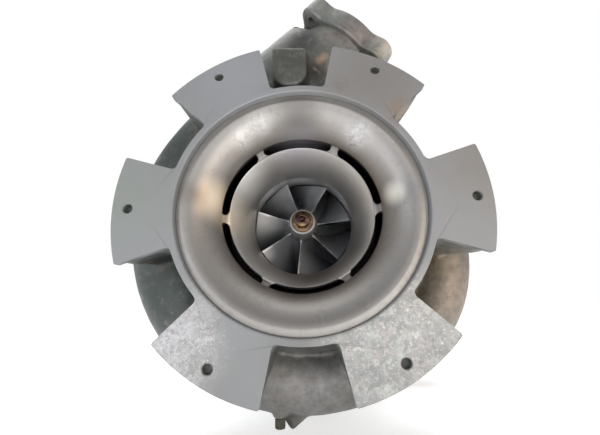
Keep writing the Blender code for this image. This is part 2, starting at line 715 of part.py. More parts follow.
def shaft_nut(looks, parent):
    """Flanged hexagon nut on the wheel's nose, with a centre hole."""
    slot = looks["bronzed_nut"]
    back = WHEEL_NOSE_DEPTH - SEAT_GAP
    start = (0, back - NUT_LENGTH, 0)
    nut = rod("shaft_nut", start, (0, 1, 0), NUT_FLAT_R, NUT_LENGTH, slot, parent, steps=6)
    collar = rod("nut_flange", (0, back - NUT_FLANGE, 0), (0, 1, 0), NUT_FLANGE_R, NUT_FLANGE, slot,
                 parent)
    combine(nut, collar, "UNION")
    hole = rod("nut_hole", (0, start[1] - 0.01, 0), (0, 1, 0), NUT_BORE_R, 0.022, slot, parent,
               steps=12)
    combine(nut, hole, "DIFFERENCE")
    return nut


def shaft(looks, parent):
    """Rotor shaft from the compressor wheel to the turbine wheel."""
    front = WHEEL_BACK_DEPTH + SEAT_GAP
    back = TURBINE_WHEEL_FRONT - SEAT_GAP
    profile = [(0, front), (COLLAR_R, front), (COLLAR_R, 0.318), (SHAFT_R, 0.322),
               (SHAFT_R, 0.500), (COLLAR_R, 0.504), (COLLAR_R, back), (0, back)]
    return turned("shaft", profile, looks["forged_steel"], parent, steps=SMALL_STEPS)


def turbine_tip_line(share):
    """Tip of a turbine blade: radius and depth, from the inlet edge to the exducer."""
    turn = pi / 2 * share
    front = TURBINE_WHEEL_FRONT + TURBINE_INLET_WIDTH
    return (TURBINE_TIP_R - (TURBINE_TIP_R - EXDUCER_R) * sin(turn),
            front + (EXDUCER_DEPTH - front) * (1 - cos(turn)) ** 1.1)


def turbine_hub_line(share):
    """Hub of the turbine wheel: radius and depth, from the inlet edge to the exducer."""
    turn = pi / 2 * share
    front = TURBINE_WHEEL_FRONT + 0.006
    return (TURBINE_TIP_R - (TURBINE_TIP_R - EXDUCER_HUB_R) * sin(turn),
            front + (EXDUCER_DEPTH - front) * (1 - cos(turn)))


def turbine_wrap(share):
    """How far a turbine blade has turned at a share of its length."""
    return radians(34) * share ** 2.2


def turbine_wheel(looks, parent):
    """Radial turbine wheel with its blades and end boss."""
    slot = looks["forged_steel"]
    front = TURBINE_WHEEL_FRONT
    hub = [(0, front), (COLLAR_R, front), (TURBINE_TIP_R, front)]
    hub += [turbine_hub_line(i / 6) for i in range(7)]
    hub += [(EXDUCER_HUB_R, EXDUCER_DEPTH + 0.004), (0.020, EXDUCER_DEPTH + 0.016),
            (0, EXDUCER_DEPTH + 0.016)]
    wheel = turned("turbine_wheel", hub, slot, parent)
    for index in range(TURBINE_BLADES):
        vane = blade(f"turbine_blade_{index + 1}", 0.02, 2 * pi * index / TURBINE_BLADES,
                     turbine_hub_line, turbine_tip_line, turbine_wrap, 0.0050, slot, parent, steps=4)
        combine(wheel, vane, "UNION")
    return wheel


# Bearing housing and foot


def bearing_housing(looks, parent):
    """Barrel with a flange at each end and a bore for the bearings."""
    front = BACK_PLATE_END + SEAT_GAP
    back = HOUSING_END
    bore = BUSH_OUTER_R + SEAT_GAP
    profile = [(bore, front), (BACK_PLATE_R, front), (BACK_PLATE_R, front + FLANGE_DEPTH),
               (BARREL_R + 0.012, front + FLANGE_DEPTH), (BARREL_R, front + FLANGE_DEPTH + 0.012),
               (BARREL_R, back - FLANGE_DEPTH), (REAR_FLANGE_R, back - FLANGE_DEPTH),
               (REAR_FLANGE_R, back), (bore, back)]
    return turned("bearing_housing", profile, looks["grey_housing"], parent)


def foot(looks, parent):
    """Foot with a base plate and a web that carries the barrel in a saddle."""
    slot = looks["grey_housing"]
    floor = -SHAFT_HEIGHT
    plate_top = floor + FOOT_PLATE
    spread = WEB_HALF_WIDTH + WEB_SPREAD
    web = [(-spread, plate_top - 0.005), (spread, plate_top - 0.005), (WEB_HALF_WIDTH, WEB_TOP),
           (-WEB_HALF_WIDTH, WEB_TOP)]
    plate = [(-FOOT_HALF_WIDTH, floor), (FOOT_HALF_WIDTH, floor), (FOOT_HALF_WIDTH, plate_top),
             (-FOOT_HALF_WIDTH, plate_top)]
    base = extruded("foot", plate, FOOT_NEAR_DEPTH, FOOT_FAR_DEPTH, slot, parent)
    middle = 0.5 * (BACK_PLATE_END + HOUSING_END)
    column = extruded("foot_web", web, middle - WEB_HALF_LENGTH, middle + WEB_HALF_LENGTH, slot,
                      parent)
    combine(base, column, "UNION")
    saddle = drum("saddle", BARREL_R + SEAT_GAP, BACK_PLATE_END, HOUSING_END, slot, parent)
    combine(base, saddle, "DIFFERENCE")
    return base


def ring(name, inner, outer, near, far, slot, parent, steps=ROUND_STEPS):
    """A plain flat-faced ring round the shaft axis."""
    return turned(name, [(inner, near), (outer, near), (outer, far), (inner, far)], slot, parent,
                  steps=steps)


def bearing_pieces(looks, parent):
    """Back plate, clamp rings, journal bearings, heat shield and oil connections."""
    grey, bronze = looks["grey_housing"], looks["bearing_bronze"]
    ring("compressor_back_plate", COLLAR_BORE_R, BACK_PLATE_R, CORE_BACK_DEPTH + SEAT_GAP,
         BACK_PLATE_END, grey, parent)
    ring("compressor_clamp_ring", BACK_PLATE_R + SEAT_GAP, CORE_R - 0.003,
         CORE_BACK_DEPTH + SEAT_GAP, BACK_PLATE_END + 0.012, looks["forged_steel"], parent)
    ring("front_journal_bearing", BUSH_BORE_R, BUSH_OUTER_R, 0.335, 0.370, bronze, parent,
         steps=ROUND_STEPS)
    ring("rear_journal_bearing", BUSH_BORE_R, BUSH_OUTER_R, 0.452, 0.487, bronze, parent,
         steps=ROUND_STEPS)
    ring("turbine_clamp_ring", REAR_FLANGE_R + SEAT_GAP, TURBINE_CORE_R - 0.004,
         HOUSING_END - FLANGE_DEPTH - 0.006, TURBINE_FRONT - SEAT_GAP, looks["forged_steel"], parent)
    middle = 0.5 * (BACK_PLATE_END + HOUSING_END)
    top = sqrt(BARREL_R ** 2 - 0.03 ** 2)
    oil_fitting("oil_inlet_flange", (0, middle, 0), (0, 0, 1), top, 0.034, looks, parent)
    aside = radians(-28)
    oil_fitting("oil_drain_flange", (0, middle, 0), (cos(aside), 0, sin(aside)), top, 0.045, looks,
                parent)


def oil_fitting(name, centre, direction, reach, size, looks, parent):
    """A round flanged stub whose root is cut to the barrel."""
    slot = looks["plated_fitting"]
    along = Vector(direction).normalized()
    start = Vector(centre) + along * (reach - 0.006)
    stub = rod(name, start, along, size * 0.72, 0.045, slot, parent, steps=SMALL_STEPS)
    plate = rod(f"{name}_plate", start + along * 0.030, along, size, 0.015, slot, parent,
                steps=SMALL_STEPS)
    combine(stub, plate, "UNION")
    barrel = drum(f"{name}_saddle", BARREL_R + SEAT_GAP, BACK_PLATE_END, HOUSING_END, slot, parent)
    combine(stub, barrel, "DIFFERENCE")
    hole = rod(f"{name}_hole", start + along * 0.020, along, size * 0.42, 0.030, slot, parent,
               steps=12)
    combine(stub, hole, "DIFFERENCE")
    return stub


# Turbine end


def turbine_casing(looks, parent):
    """Turbine scroll with its gas nozzle, hollow round the wheel."""
    slot = looks["hot_casting"]
    contour = offset_line(turbine_tip_line, 5, RUNNING_GAP)
    profile = [(TURBINE_CORE_R, TURBINE_FRONT), (TURBINE_CORE_R, TURBINE_BACK),
               (OUTLET_THROAT_R, TURBINE_BACK), (OUTLET_THROAT_R, EXDUCER_DEPTH + 0.004)]
    inner = contour[::-1]
    inner[0] = (OUTLET_THROAT_R, inner[0][1])
    profile += inner + [(0.150, contour[0][1]), (0.150, TURBINE_FRONT)]
    casing = turned("turbine_casing", profile, slot, parent)
    half = GAS_SCROLL_HALF
    rings = scroll_rings(GAS_SCROLL_START, GAS_SCROLL_END, TURBINE_SCROLL_R, GAS_SCROLL_SMALL_HALF,
                         half, TURBINE_DEPTH, 28)
    combine(casing, skin("gas_scroll_tube", rings, slot, parent), "UNION")
    centre_r = TURBINE_SCROLL_R - half
    start_angle = radians(258)
    start = (centre_r * cos(start_angle), centre_r * sin(start_angle))
    root = half - 0.003
    neck = [oval_ring(start, start_angle, root, root, TURBINE_DEPTH)]
    neck += neck_rings(start, start_angle, 1, (GAS_REACH, -GAS_OFFSET), 0.0, gas_neck_size,
                       TURBINE_DEPTH, 8)
    combine(casing, skin("gas_neck", neck, slot, parent), "UNION")
    bore = rod("gas_bore", (GAS_REACH + 0.02, TURBINE_DEPTH, -GAS_OFFSET), (-1, 0, 0), GAS_BORE_R,
               GAS_BORE_DEPTH + 0.02, slot, parent, steps=SMALL_STEPS)
    combine(casing, bore, "DIFFERENCE")
    return casing


def gas_inlet_flange(looks, parent):
    """Round bolting flange on the gas nozzle."""
    slot = looks["hot_casting"]
    start = Vector((GAS_REACH + SEAT_GAP, TURBINE_DEPTH, -GAS_OFFSET))
    flange = rod("gas_inlet_flange", start, (1, 0, 0), GAS_NOZZLE_R + 0.034, GAS_FLANGE_THICKNESS,
                 slot, parent, steps=ROUND_STEPS)
    bore = rod("gas_flange_bore", start - Vector((0.01, 0, 0)), (1, 0, 0), GAS_BORE_R,
               GAS_FLANGE_THICKNESS + 0.02, slot, parent, steps=SMALL_STEPS)
    combine(flange, bore, "DIFFERENCE")
    return flange


def gas_outlet(looks, parent):
    """Diffuser cone behind the turbine wheel and its end flange."""
    slot = looks["hot_casting"]
    front = TURBINE_BACK + SEAT_GAP
    cone = [(OUTLET_THROAT_R, front), (OUTLET_THROAT_R + 0.055, front),
            (OUTLET_THROAT_R + 0.055, front + 0.018), (OUTLET_THROAT_R + OUTLET_WALL, front + 0.024),
            (OUTLET_MOUTH_R + OUTLET_WALL, OUTLET_END), (OUTLET_MOUTH_R, OUTLET_END)]
    turned("gas_outlet_cone", cone, slot, parent)
    ring("gas_outlet_flange", OUTLET_MOUTH_R, OUTLET_FLANGE_R, OUTLET_END + SEAT_GAP,
         OUTLET_END + GAS_FLANGE_THICKNESS, slot, parent)
    ring("heat_shield", COLLAR_BORE_R, 0.149, TURBINE_FRONT - SEAT_GAP + 0.0006,
         TURBINE_WHEEL_FRONT - 0.006, looks["forged_steel"], parent)


def main():
    """Clear the scene and build the turbocharger."""
    for old in list(bpy.data.objects):
        bpy.data.objects.remove(old, do_unlink=True)
    looks = finishes()
    housing = bpy.data.objects.new("housing_axis", None)
    rotor = bpy.data.objects.new("rotor_axis", None)
    for empty in (housing, rotor):
        empty.location = (0, -FOOT_CENTRE_DEPTH, SHAFT_HEIGHT)
        bpy.context.collection.objects.link(empty)
    inlet_ring(looks, housing)
    inlet_pads(looks, housing)
    bellmouth(looks, housing)
    shroud_ring(looks, housing)
    compressor_scroll(looks, housing)
    drain_plug(looks, housing)
    discharge_flange(looks, housing)
    bearing_housing(looks, housing)
    bearing_pieces(looks, housing)
    foot(looks, housing)
    turbine_casing(looks, housing)
    gas_inlet_flange(looks, housing)
    gas_outlet(looks, housing)
    impeller(looks, rotor)
    shaft_nut(looks, rotor)
    shaft(looks, rotor)
    turbine_wheel(looks, rotor)


main()
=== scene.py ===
"""Marine turbocharger: the finished surfaces, laid out as an add-on and run as a script.

Shapes are worked out in the shaft's own frame: x to the right, depth along the shaft from the plane
of the inlet pads into the machine, z up, with the origin on the shaft axis. `placed` moves them to
where the solid model stands.
"""

import json

import bmesh
import bpy
import numpy as np
from bpy.props import FloatProperty, FloatVectorProperty, PointerProperty
from bpy.types import Operator, Panel, PropertyGroup
from mathutils import Matrix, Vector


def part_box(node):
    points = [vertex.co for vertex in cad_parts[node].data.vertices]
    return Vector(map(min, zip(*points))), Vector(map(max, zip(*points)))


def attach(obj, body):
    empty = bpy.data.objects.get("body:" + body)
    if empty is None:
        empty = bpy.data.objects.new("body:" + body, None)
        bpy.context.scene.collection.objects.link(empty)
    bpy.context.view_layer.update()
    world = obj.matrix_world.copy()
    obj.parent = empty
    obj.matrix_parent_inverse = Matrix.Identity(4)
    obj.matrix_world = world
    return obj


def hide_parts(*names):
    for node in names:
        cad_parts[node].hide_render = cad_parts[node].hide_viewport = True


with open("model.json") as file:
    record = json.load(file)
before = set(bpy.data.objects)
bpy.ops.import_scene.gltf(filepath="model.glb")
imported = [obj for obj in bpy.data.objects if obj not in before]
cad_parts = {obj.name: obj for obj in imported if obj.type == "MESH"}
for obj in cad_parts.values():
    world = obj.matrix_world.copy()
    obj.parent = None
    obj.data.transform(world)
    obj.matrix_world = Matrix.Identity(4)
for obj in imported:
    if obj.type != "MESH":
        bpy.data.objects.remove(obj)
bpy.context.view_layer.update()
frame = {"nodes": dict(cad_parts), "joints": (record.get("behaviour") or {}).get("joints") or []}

bl_info = {
    "name": "Marine Turbocharger Finish",
    "version": (1, 0, 0),
    "blender": (4, 5, 0),
    "location": "3D View > Sidebar > Turbocharger",
    "description": "Builds the finished surfaces of a marine turbocharger round its solid model",
    "category": "Object",
}

# Frame
PAD_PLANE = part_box("inlet_ring")[0].y
AXIS_HEIGHT = frame["joints"][0]["pos_m"][2]
SHAFT_WAY = np.array([0.0, 1.0, 0.0])


def reach(node):
    """Largest x of a node: its outer radius, where it is turned round the shaft."""
    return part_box(node)[1].x


def near(node):
    """Depth of a node's front."""
    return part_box(node)[0].y - PAD_PLANE


def far(node):
    """Depth of a node's back."""
    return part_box(node)[1].y - PAD_PLANE


# Inlet end
PAD_OUTER_R = reach("inlet_pad_1")
RING_OUTER_R = reach("inlet_ring")
RING_INNER_R = reach("bellmouth") + 0.0003
PAD_HALF_ANGLE = np.radians(17.3)
PAD_THICKNESS = 0.012
BOLT_CIRCLE_R = 0.294
TAPPED_HOLE_R = 0.0083
LIP_DEPTH = near("bellmouth")
LIP_INNER_R = 0.2045
SLOT_OUTER = (0.148, 0.057)
SLOT_INNER = (0.1356, 0.0693)
CHANNEL_OUTER_R = 0.1545
CHANNEL_INNER_R = 0.1415
CHANNEL_DEPTH = far("bellmouth")
INSERT_R = reach("shroud_ring")
THROAT = (0.105, 0.163)
FRONT_WALL_DEPTH = far("inlet_ring") + 0.0003

# Rotor
NOSE_R = 0.026
NOSE_DEPTH = near("impeller")
EDGE_DEPTH = 0.166
EDGE_TIP_R = 0.1022
EDGE_ROOT_R = 0.032
WHEEL_EXIT_R = reach("impeller")
WHEEL_BACK = far("impeller")
EXIT_TIP_DEPTH = WHEEL_BACK - 0.024
EXIT_HUB_DEPTH = WHEEL_BACK - 0.006
RUNNING_GAP = 0.0025
BLADES = 7
BLADE_FIRST = np.radians(5)
BLADE_WRAP = np.radians(55)

# Compressor casing
SCROLL_DEPTH = 0.180
SCROLL_OUTER_R = 0.366
SCROLL_SMALL = 0.034
SCROLL_LARGE = 0.090
SCROLL_START = np.radians(38)
SCROLL_END = np.radians(-210)
CORE_R = 0.262
CORE_BACK = far("compressor_scroll")
NOZZLE_ANGLE = np.radians(47)
NOZZLE_REACH = 0.370
NOZZLE_OFFSET = 0.210
NOZZLE_R = 0.118
NOZZLE_HALF_DEPTH = 0.110
NECK_SWELL = 0.015
NOZZLE_BORE_R = 0.080
NOZZLE_BORE_DEPTH = 0.195
FLANGE_THICKNESS = 0.046
FLANGE_R = 0.121
EAR_CIRCLE_R = 0.122
EAR_R = 0.028
EAR_POCKET_R = 0.031
EAR_POCKET_DEPTH = 0.034
EAR_HOLE_R = 0.009

# Bearing housing
PLATE_R = reach("compressor_back_plate")
PLATE_END = far("compressor_back_plate")
HOUSING_FRONT = near("bearing_housing")
HOUSING_END = far("bearing_housing")
BARREL_R = 0.150
REAR_FLANGE_R = 0.200
BUSH_R = reach("front_journal_bearing")

# Turbine end
TURBINE_DEPTH = 0.592
TURBINE_FRONT = HOUSING_END + 0.0003
TURBINE_BACK = 0.660
TURBINE_CORE_R = 0.232
TURBINE_SCROLL_R = 0.325
GAS_SMALL = 0.046
GAS_LARGE = 0.064
GAS_OFFSET = 0.205
GAS_REACH = 0.375
GAS_NOZZLE_R = 0.097
GAS_BORE_R = 0.080
OUTLET_END = far("gas_outlet_cone")
OUTLET_THROAT_R = 0.1075
OUTLET_MOUTH_R = 0.130
TURBINE_WHEEL_FRONT = near("turbine_wheel")
TURBINE_TIP_R = reach("turbine_wheel")
EXDUCER_R = 0.102
EXDUCER_DEPTH = 0.606
EXDUCER_HUB_R = 0.036


# Colours and numbers


def linear(text):
    """A colour written as sRGB hex, turned to linear values."""
    value = np.array([int(text[i:i + 2], 16) for i in (1, 3, 5)]) / 255
    return tuple(np.where(value <= 0.04045, value / 12.92, ((value + 0.055) / 1.055) ** 2.4))


def millimetres(size):
    """Texture scale at which one feature of a noise is this many millimetres wide."""
    return 1000.0 / size


class TurbochargerLooks(PropertyGroup):
    """Colours and sizes of the finish."""

    pad_colour: FloatVectorProperty(
        name="Pad metal", description="Milled aluminium of the inlet pads", subtype="COLOR",
        size=3, min=0, max=1, default=linear("#85878a"))
    bell_colour: FloatVectorProperty(
        name="Bell-mouth metal", description="Turned aluminium of the bell-mouth", subtype="COLOR",
        size=3, min=0, max=1, default=linear("#a4a3a1"))
    cast_colour: FloatVectorProperty(
        name="Casting", description="Sand-cast aluminium of the compressor casing",
        subtype="COLOR", size=3, min=0, max=1, default=linear("#6c6f6b"))
    wheel_colour: FloatVectorProperty(
        name="Wheel metal", description="Milled alloy of the compressor wheel", subtype="COLOR",
        size=3, min=0, max=1, default=linear("#8d8f92"))
    housing_colour: FloatVectorProperty(
        name="Housing paint", description="Enamel on the bearing housing and foot",
        subtype="COLOR", size=3, min=0, max=1, default=linear("#6d7371"))
    hot_colour: FloatVectorProperty(
        name="Turbine iron", description="Heat-stained iron of the turbine casing",
        subtype="COLOR", size=3, min=0, max=1, default=linear("#6a5a4c"))
    grain: FloatProperty(
        name="Casting grain", description="Width of one grain of the sand mould's surface",
        default=0.0022, min=0.0005, max=0.02, unit="LENGTH")
    blade_edge: FloatProperty(
        name="Blade edge", description="Thickness of a compressor blade at its leading edge",
        default=0.0011, min=0.0005, max=0.01, unit="LENGTH")


# Surfaces as arrays


def sheet(points, close_u=False, close_v=False):
    """Corners and quads of a grid of points (rows, columns, 3); a closed way joins end to start."""
    rows, columns = points.shape[:2]
    index = np.arange(rows * columns).reshape(rows, columns)
    if close_u:
        index = np.vstack([index, index[:1]])
    if close_v:
        index = np.hstack([index, index[:, :1]])
    quads = np.stack([index[:-1, :-1], index[1:, :-1], index[1:, 1:], index[:-1, 1:]], -1)
    return points.reshape(-1, 3), quads.reshape(-1, 4)


def outward(corners, quads):
    """The closed sheet with its quads turned so that the volume they enclose is positive."""
    a, b, c, d = (corners[quads[:, i]] for i in range(4))
    volume = np.einsum("ij,ij->i", a, np.cross(b, c)) + np.einsum("ij,ij->i", a, np.cross(c, d))
    return (corners, quads) if volume.sum() > 0 else (corners, quads[:, ::-1])


def placed(points):
    """Points of the shaft frame moved to where the solid model stands."""
    return points + np.array([0.0, PAD_PLANE, AXIS_HEIGHT])


def rounded(corners, steps=5):
    """A closed outline of (a, b, radius) corners: each corner becomes an arc that touches both sides.

    The arc starts and ends at radius / tan(half the corner's angle) from the corner.
    """
    corners = np.array(corners, float)
    points, radii = corners[:, :2], corners[:, 2]
    back = np.roll(points, 1, 0) - points
    ahead = np.roll(points, -1, 0) - points
    back /= np.linalg.norm(back, axis=1, keepdims=True)
    ahead /= np.linalg.norm(ahead, axis=1, keepdims=True)
    half = np.arccos(np.clip((back * ahead).sum(1), -0.99999, 0.99999)) / 2
    middle = back + ahead
    middle /= np.maximum(np.linalg.norm(middle, axis=1, keepdims=True), 1e-9)
    centre = points + middle * (radii / np.sin(half))[:, None]
    touch = (radii / np.tan(half))[:, None]
    start = points + back * touch - centre
    end = points + ahead * touch - centre
    first = np.arctan2(start[:, 1], start[:, 0])
    turn = (np.arctan2(end[:, 1], end[:, 0]) - first + np.pi) % (2 * np.pi) - np.pi
    angle = first[:, None] + turn[:, None] * np.linspace(0, 1, steps)
    arc = np.stack([np.cos(angle), np.sin(angle)], -1) * radii[:, None, None]
    return (centre[:, None] + arc).reshape(-1, 2)


def across(axis):
    """Two unit vectors square to an axis."""
    axis = np.array(axis, float) / np.linalg.norm(axis)
    guide = np.array([0.0, 0.0, 1.0]) if abs(axis[2]) < 0.9 else np.array([1.0, 0.0, 0.0])
    first = np.cross(axis, guide)
    first /= np.linalg.norm(first)
    return axis, first, np.cross(axis, first)


def lathe(profile, origin=(0, 0, 0), axis=SHAFT_WAY, steps=160, closed=True, facets=0):
    """A (radius, height) outline carried round an axis.

    With facets, the radius is the smaller of the outline's and a regular polygon's, so that a
    chamfered hexagon comes out. The polygon's corner radius is the outline's largest radius.
    """
    profile = np.asarray(profile, float)
    axis, first, second = across(axis)
    turn = np.linspace(0, 2 * np.pi, steps, endpoint=False)
    radius = np.repeat(profile[:, :1], steps, 1)
    if facets:
        part = 2 * np.pi / facets
        flat = profile[:, 0].max() * np.cos(part / 2) / np.cos(turn % part - part / 2)
        radius = np.minimum(radius, flat)
    ring = first * np.cos(turn)[:, None] + second * np.sin(turn)[:, None]
    points = radius[..., None] * ring + profile[:, 1, None, None] * axis + np.array(origin, float)
    return outward(*sheet(points, close_u=closed, close_v=True))


def turned(profile, steps=160, closed=True):
    """A (radius, depth) outline carried round the shaft axis: x = r cos a, z = r sin a."""
    profile = np.asarray(profile, float)
    turn = np.linspace(0, 2 * np.pi, steps, endpoint=False)
    radius, depth = profile[:, :1], profile[:, 1:]
    points = np.stack([radius * np.cos(turn), depth + 0 * turn, radius * np.sin(turn)], -1)
    return outward(*sheet(points, close_u=closed, close_v=True))


def swept(sections):
    """Closed sections (sections, points, 3) joined in order, with each end drawn in to its middle."""
    first = np.broadcast_to(sections[0].mean(0), sections[0].shape)
    last = np.broadcast_to(sections[-1].mean(0), sections[-1].shape)
    return outward(*sheet(np.concatenate([[first], sections, [last]]), close_v=True))


def smooth_step(value):
    """Zero to one with level ends: v² (3 - 2v)."""
    value = np.clip(value, 0.0, 1.0)
    return value * value * (3 - 2 * value)


def inward_curve(start, end, slopes, count):
    """A hollow arc of (radius, depth) points that dives from the first slope to the last.

    Radius falls with the sine of the slope and depth grows with one minus its cosine.
    """
    bend = np.linspace(slopes[0], slopes[1], count)
    inward = (np.sin(bend) - np.sin(slopes[0])) / (np.sin(slopes[1]) - np.sin(slopes[0]))
    down = (np.cos(slopes[0]) - np.cos(bend)) / (np.cos(slopes[0]) - np.cos(slopes[1]))
    return np.stack([start[0] + (end[0] - start[0]) * inward,
                     start[1] + (end[1] - start[1]) * down], -1)


# Pieces


def mesh_of(name, parts):
    """One mesh of several sheets, with doubled corners at poles and seams merged."""
    corners, quads, first = [], [], 0
    for points, faces in parts:
        corners.append(placed(points))
        quads.append(faces + first)
        first += len(points)
    mesh = bpy.data.meshes.new(name)
    mesh.from_pydata(np.concatenate(corners), [], np.concatenate(quads))
    shape = bmesh.new()
    shape.from_mesh(mesh)
    bmesh.ops.remove_doubles(shape, verts=shape.verts, dist=1e-7)
    shape.to_mesh(mesh)
    shape.free()
    return mesh


def piece(name, parts, finish, body, replaced=(), sharp=35):
    """A named piece made of sheets, with its finish, that rides on a body and stands for nodes."""
    made = bpy.data.objects.new(name, mesh_of(name, parts))
    bpy.context.scene.collection.objects.link(made)
    made.data.materials.append(finish)
    shade(made, sharp)
    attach(made, body)
    if replaced:
        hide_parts(*replaced)
    return made


def shade(made, sharp):
    """Smooth shading with creases where faces meet at more than an angle in degrees."""
    made.data.shade_smooth()
    made.data.set_sharp_from_angle(angle=np.radians(sharp))


def cut(made, parts, overlapping=False):
    """Take the volume of closed sheets away from a piece, whose own sheets may overlap."""
    tool = bpy.data.objects.new(made.name + "_tool", mesh_of(made.name + "_tool", parts))
    bpy.context.scene.collection.objects.link(tool)
    step = made.modifiers.new("cut", "BOOLEAN")
    step.operation = "DIFFERENCE"
    step.solver = "EXACT"
    step.object = tool
    step.use_self = overlapping
    settle(made)
    bpy.data.objects.remove(tool, do_unlink=True)


def settle(made):
    """Give a piece the mesh that its modifiers make, and drop them."""
    graph = bpy.context.evaluated_depsgraph_get()
    mesh = bpy.data.meshes.new_from_object(made.evaluated_get(graph))
    made.modifiers.clear()
    old, made.data = made.data, mesh
    bpy.data.meshes.remove(old)


def fused(made, grain, softening):
    """Melt overlapping sheets into one skin, with the soft inner corners of a casting."""
    melt = made.modifiers.new("melt", "REMESH")
    melt.mode = "VOXEL"
    melt.voxel_size = grain
    soften = made.modifiers.new("soften", "SMOOTH")
    soften.factor = 0.5
    soften.iterations = softening
    settle(made)


def rippled(made, height):
    """Move a casting's skin in and out by sums of sines, as a sand mould leaves it."""
    mesh = made.data
    count = len(mesh.vertices)
    points = np.empty(count * 3, np.float32)
    normals = np.empty(count * 3, np.float32)
    mesh.vertices.foreach_get("co", points)
    mesh.vertex_normals.foreach_get("vector", normals)
    points = points.reshape(-1, 3).astype(float)
    x, y, z = points.T
    wave = (np.sin(91 * x + 3 * np.sin(37 * z)) * np.sin(83 * z + 2 * np.sin(41 * y))
            + 0.6 * np.sin(173 * y + 2 * np.sin(67 * x)) * np.sin(151 * x + 1.3)
            + 0.4 * np.sin(311 * z + 2 * np.sin(97 * y)) * np.sin(283 * y + 0.7))
    points += normals.reshape(-1, 3) * wave[:, None] * height
    mesh.vertices.foreach_set("co", points.astype(np.float32).ravel())
    mesh.update()


# Nodes


def add_node(tree, kind, inputs=None, **properties):
    """Add one node, set its properties, and set or link its inputs by name or number."""
    node = tree.nodes.new(kind)
    for key, value in properties.items():
        setattr(node, key, value)
    for key, value in (inputs or {}).items():
        if isinstance(value, bpy.types.NodeSocket):
            tree.links.new(value, node.inputs[key])
        else:
            node.inputs[key].default_value = value
    return node


def new_finish(name, roughness, metallic):
    """An empty material: its tree, its shader and the object's coordinates about the shaft axis."""
    finish = bpy.data.materials.new(name)
    finish.use_nodes = True
    tree = finish.node_tree
    shader = tree.nodes["Principled BSDF"]
    shader.inputs["Roughness"].default_value = roughness
    shader.inputs["Metallic"].default_value = metallic
    spot = add_node(tree, "ShaderNodeTexCoord").outputs["Object"]
    centred = add_node(tree, "ShaderNodeMapping", {"Vector": spot,
                                                   "Location": (0, -PAD_PLANE, -AXIS_HEIGHT)})
    return finish, tree, shader, centred.outputs["Vector"]


def mixed(tree, share, first, second):
    """Colour between two colours by a share."""
    node = add_node(tree, "ShaderNodeMix", {0: share, 6: first, 7: second}, data_type="RGBA")
    return node.outputs[2]


def near_spot(tree, spot, centre, radius):
    """Share that falls smoothly from one at a point of the shaft frame to zero at a radius."""
    away = add_node(tree, "ShaderNodeVectorMath", {0: spot, 1: centre}, operation="DISTANCE")
    fade = add_node(tree, "ShaderNodeMapRange", {"Value": away.outputs["Value"], "From Max": radius,
                                                 "To Min": 1.0, "To Max": 0.0},
                    interpolation_type="SMOOTHSTEP")
    return fade.outputs["Result"]


def tinted(tree, spot, colour, places, edge=None):
    """A colour with soft patches: each place gives a centre, a radius, a strength and a tint."""
    for centre, radius, strength, tint in places:
        share = near_spot(tree, spot, centre, radius)
        if edge is not None:
            share = add_node(tree, "ShaderNodeMath", {0: share, 1: edge},
                             operation="MULTIPLY").outputs[0]
        share = add_node(tree, "ShaderNodeMath", {0: share, 1: strength},
                         operation="MULTIPLY").outputs[0]
        colour = mixed(tree, share, colour, opaque(linear(tint)))
    return colour


def banded(tree, radius, colour, bands):
    """A colour with soft rings: each gives the radii of its start, full strength and end."""
    for start, full, end, strength, tint in bands:
        rise = add_node(tree, "ShaderNodeMapRange", {"Value": radius, "From Min": start,
                                                     "From Max": full}).outputs["Result"]
        fall = add_node(tree, "ShaderNodeMapRange", {"Value": radius, "From Min": end,
                                                     "From Max": full,
                                                     "To Max": strength}).outputs["Result"]
        share = add_node(tree, "ShaderNodeMath", {0: rise, 1: fall}, operation="MULTIPLY")
        colour = mixed(tree, share.outputs[0], colour, opaque(linear(tint)))
    return colour


def opaque(colour):
    """A colour with its alpha."""
    return (*colour[:3], 1.0)


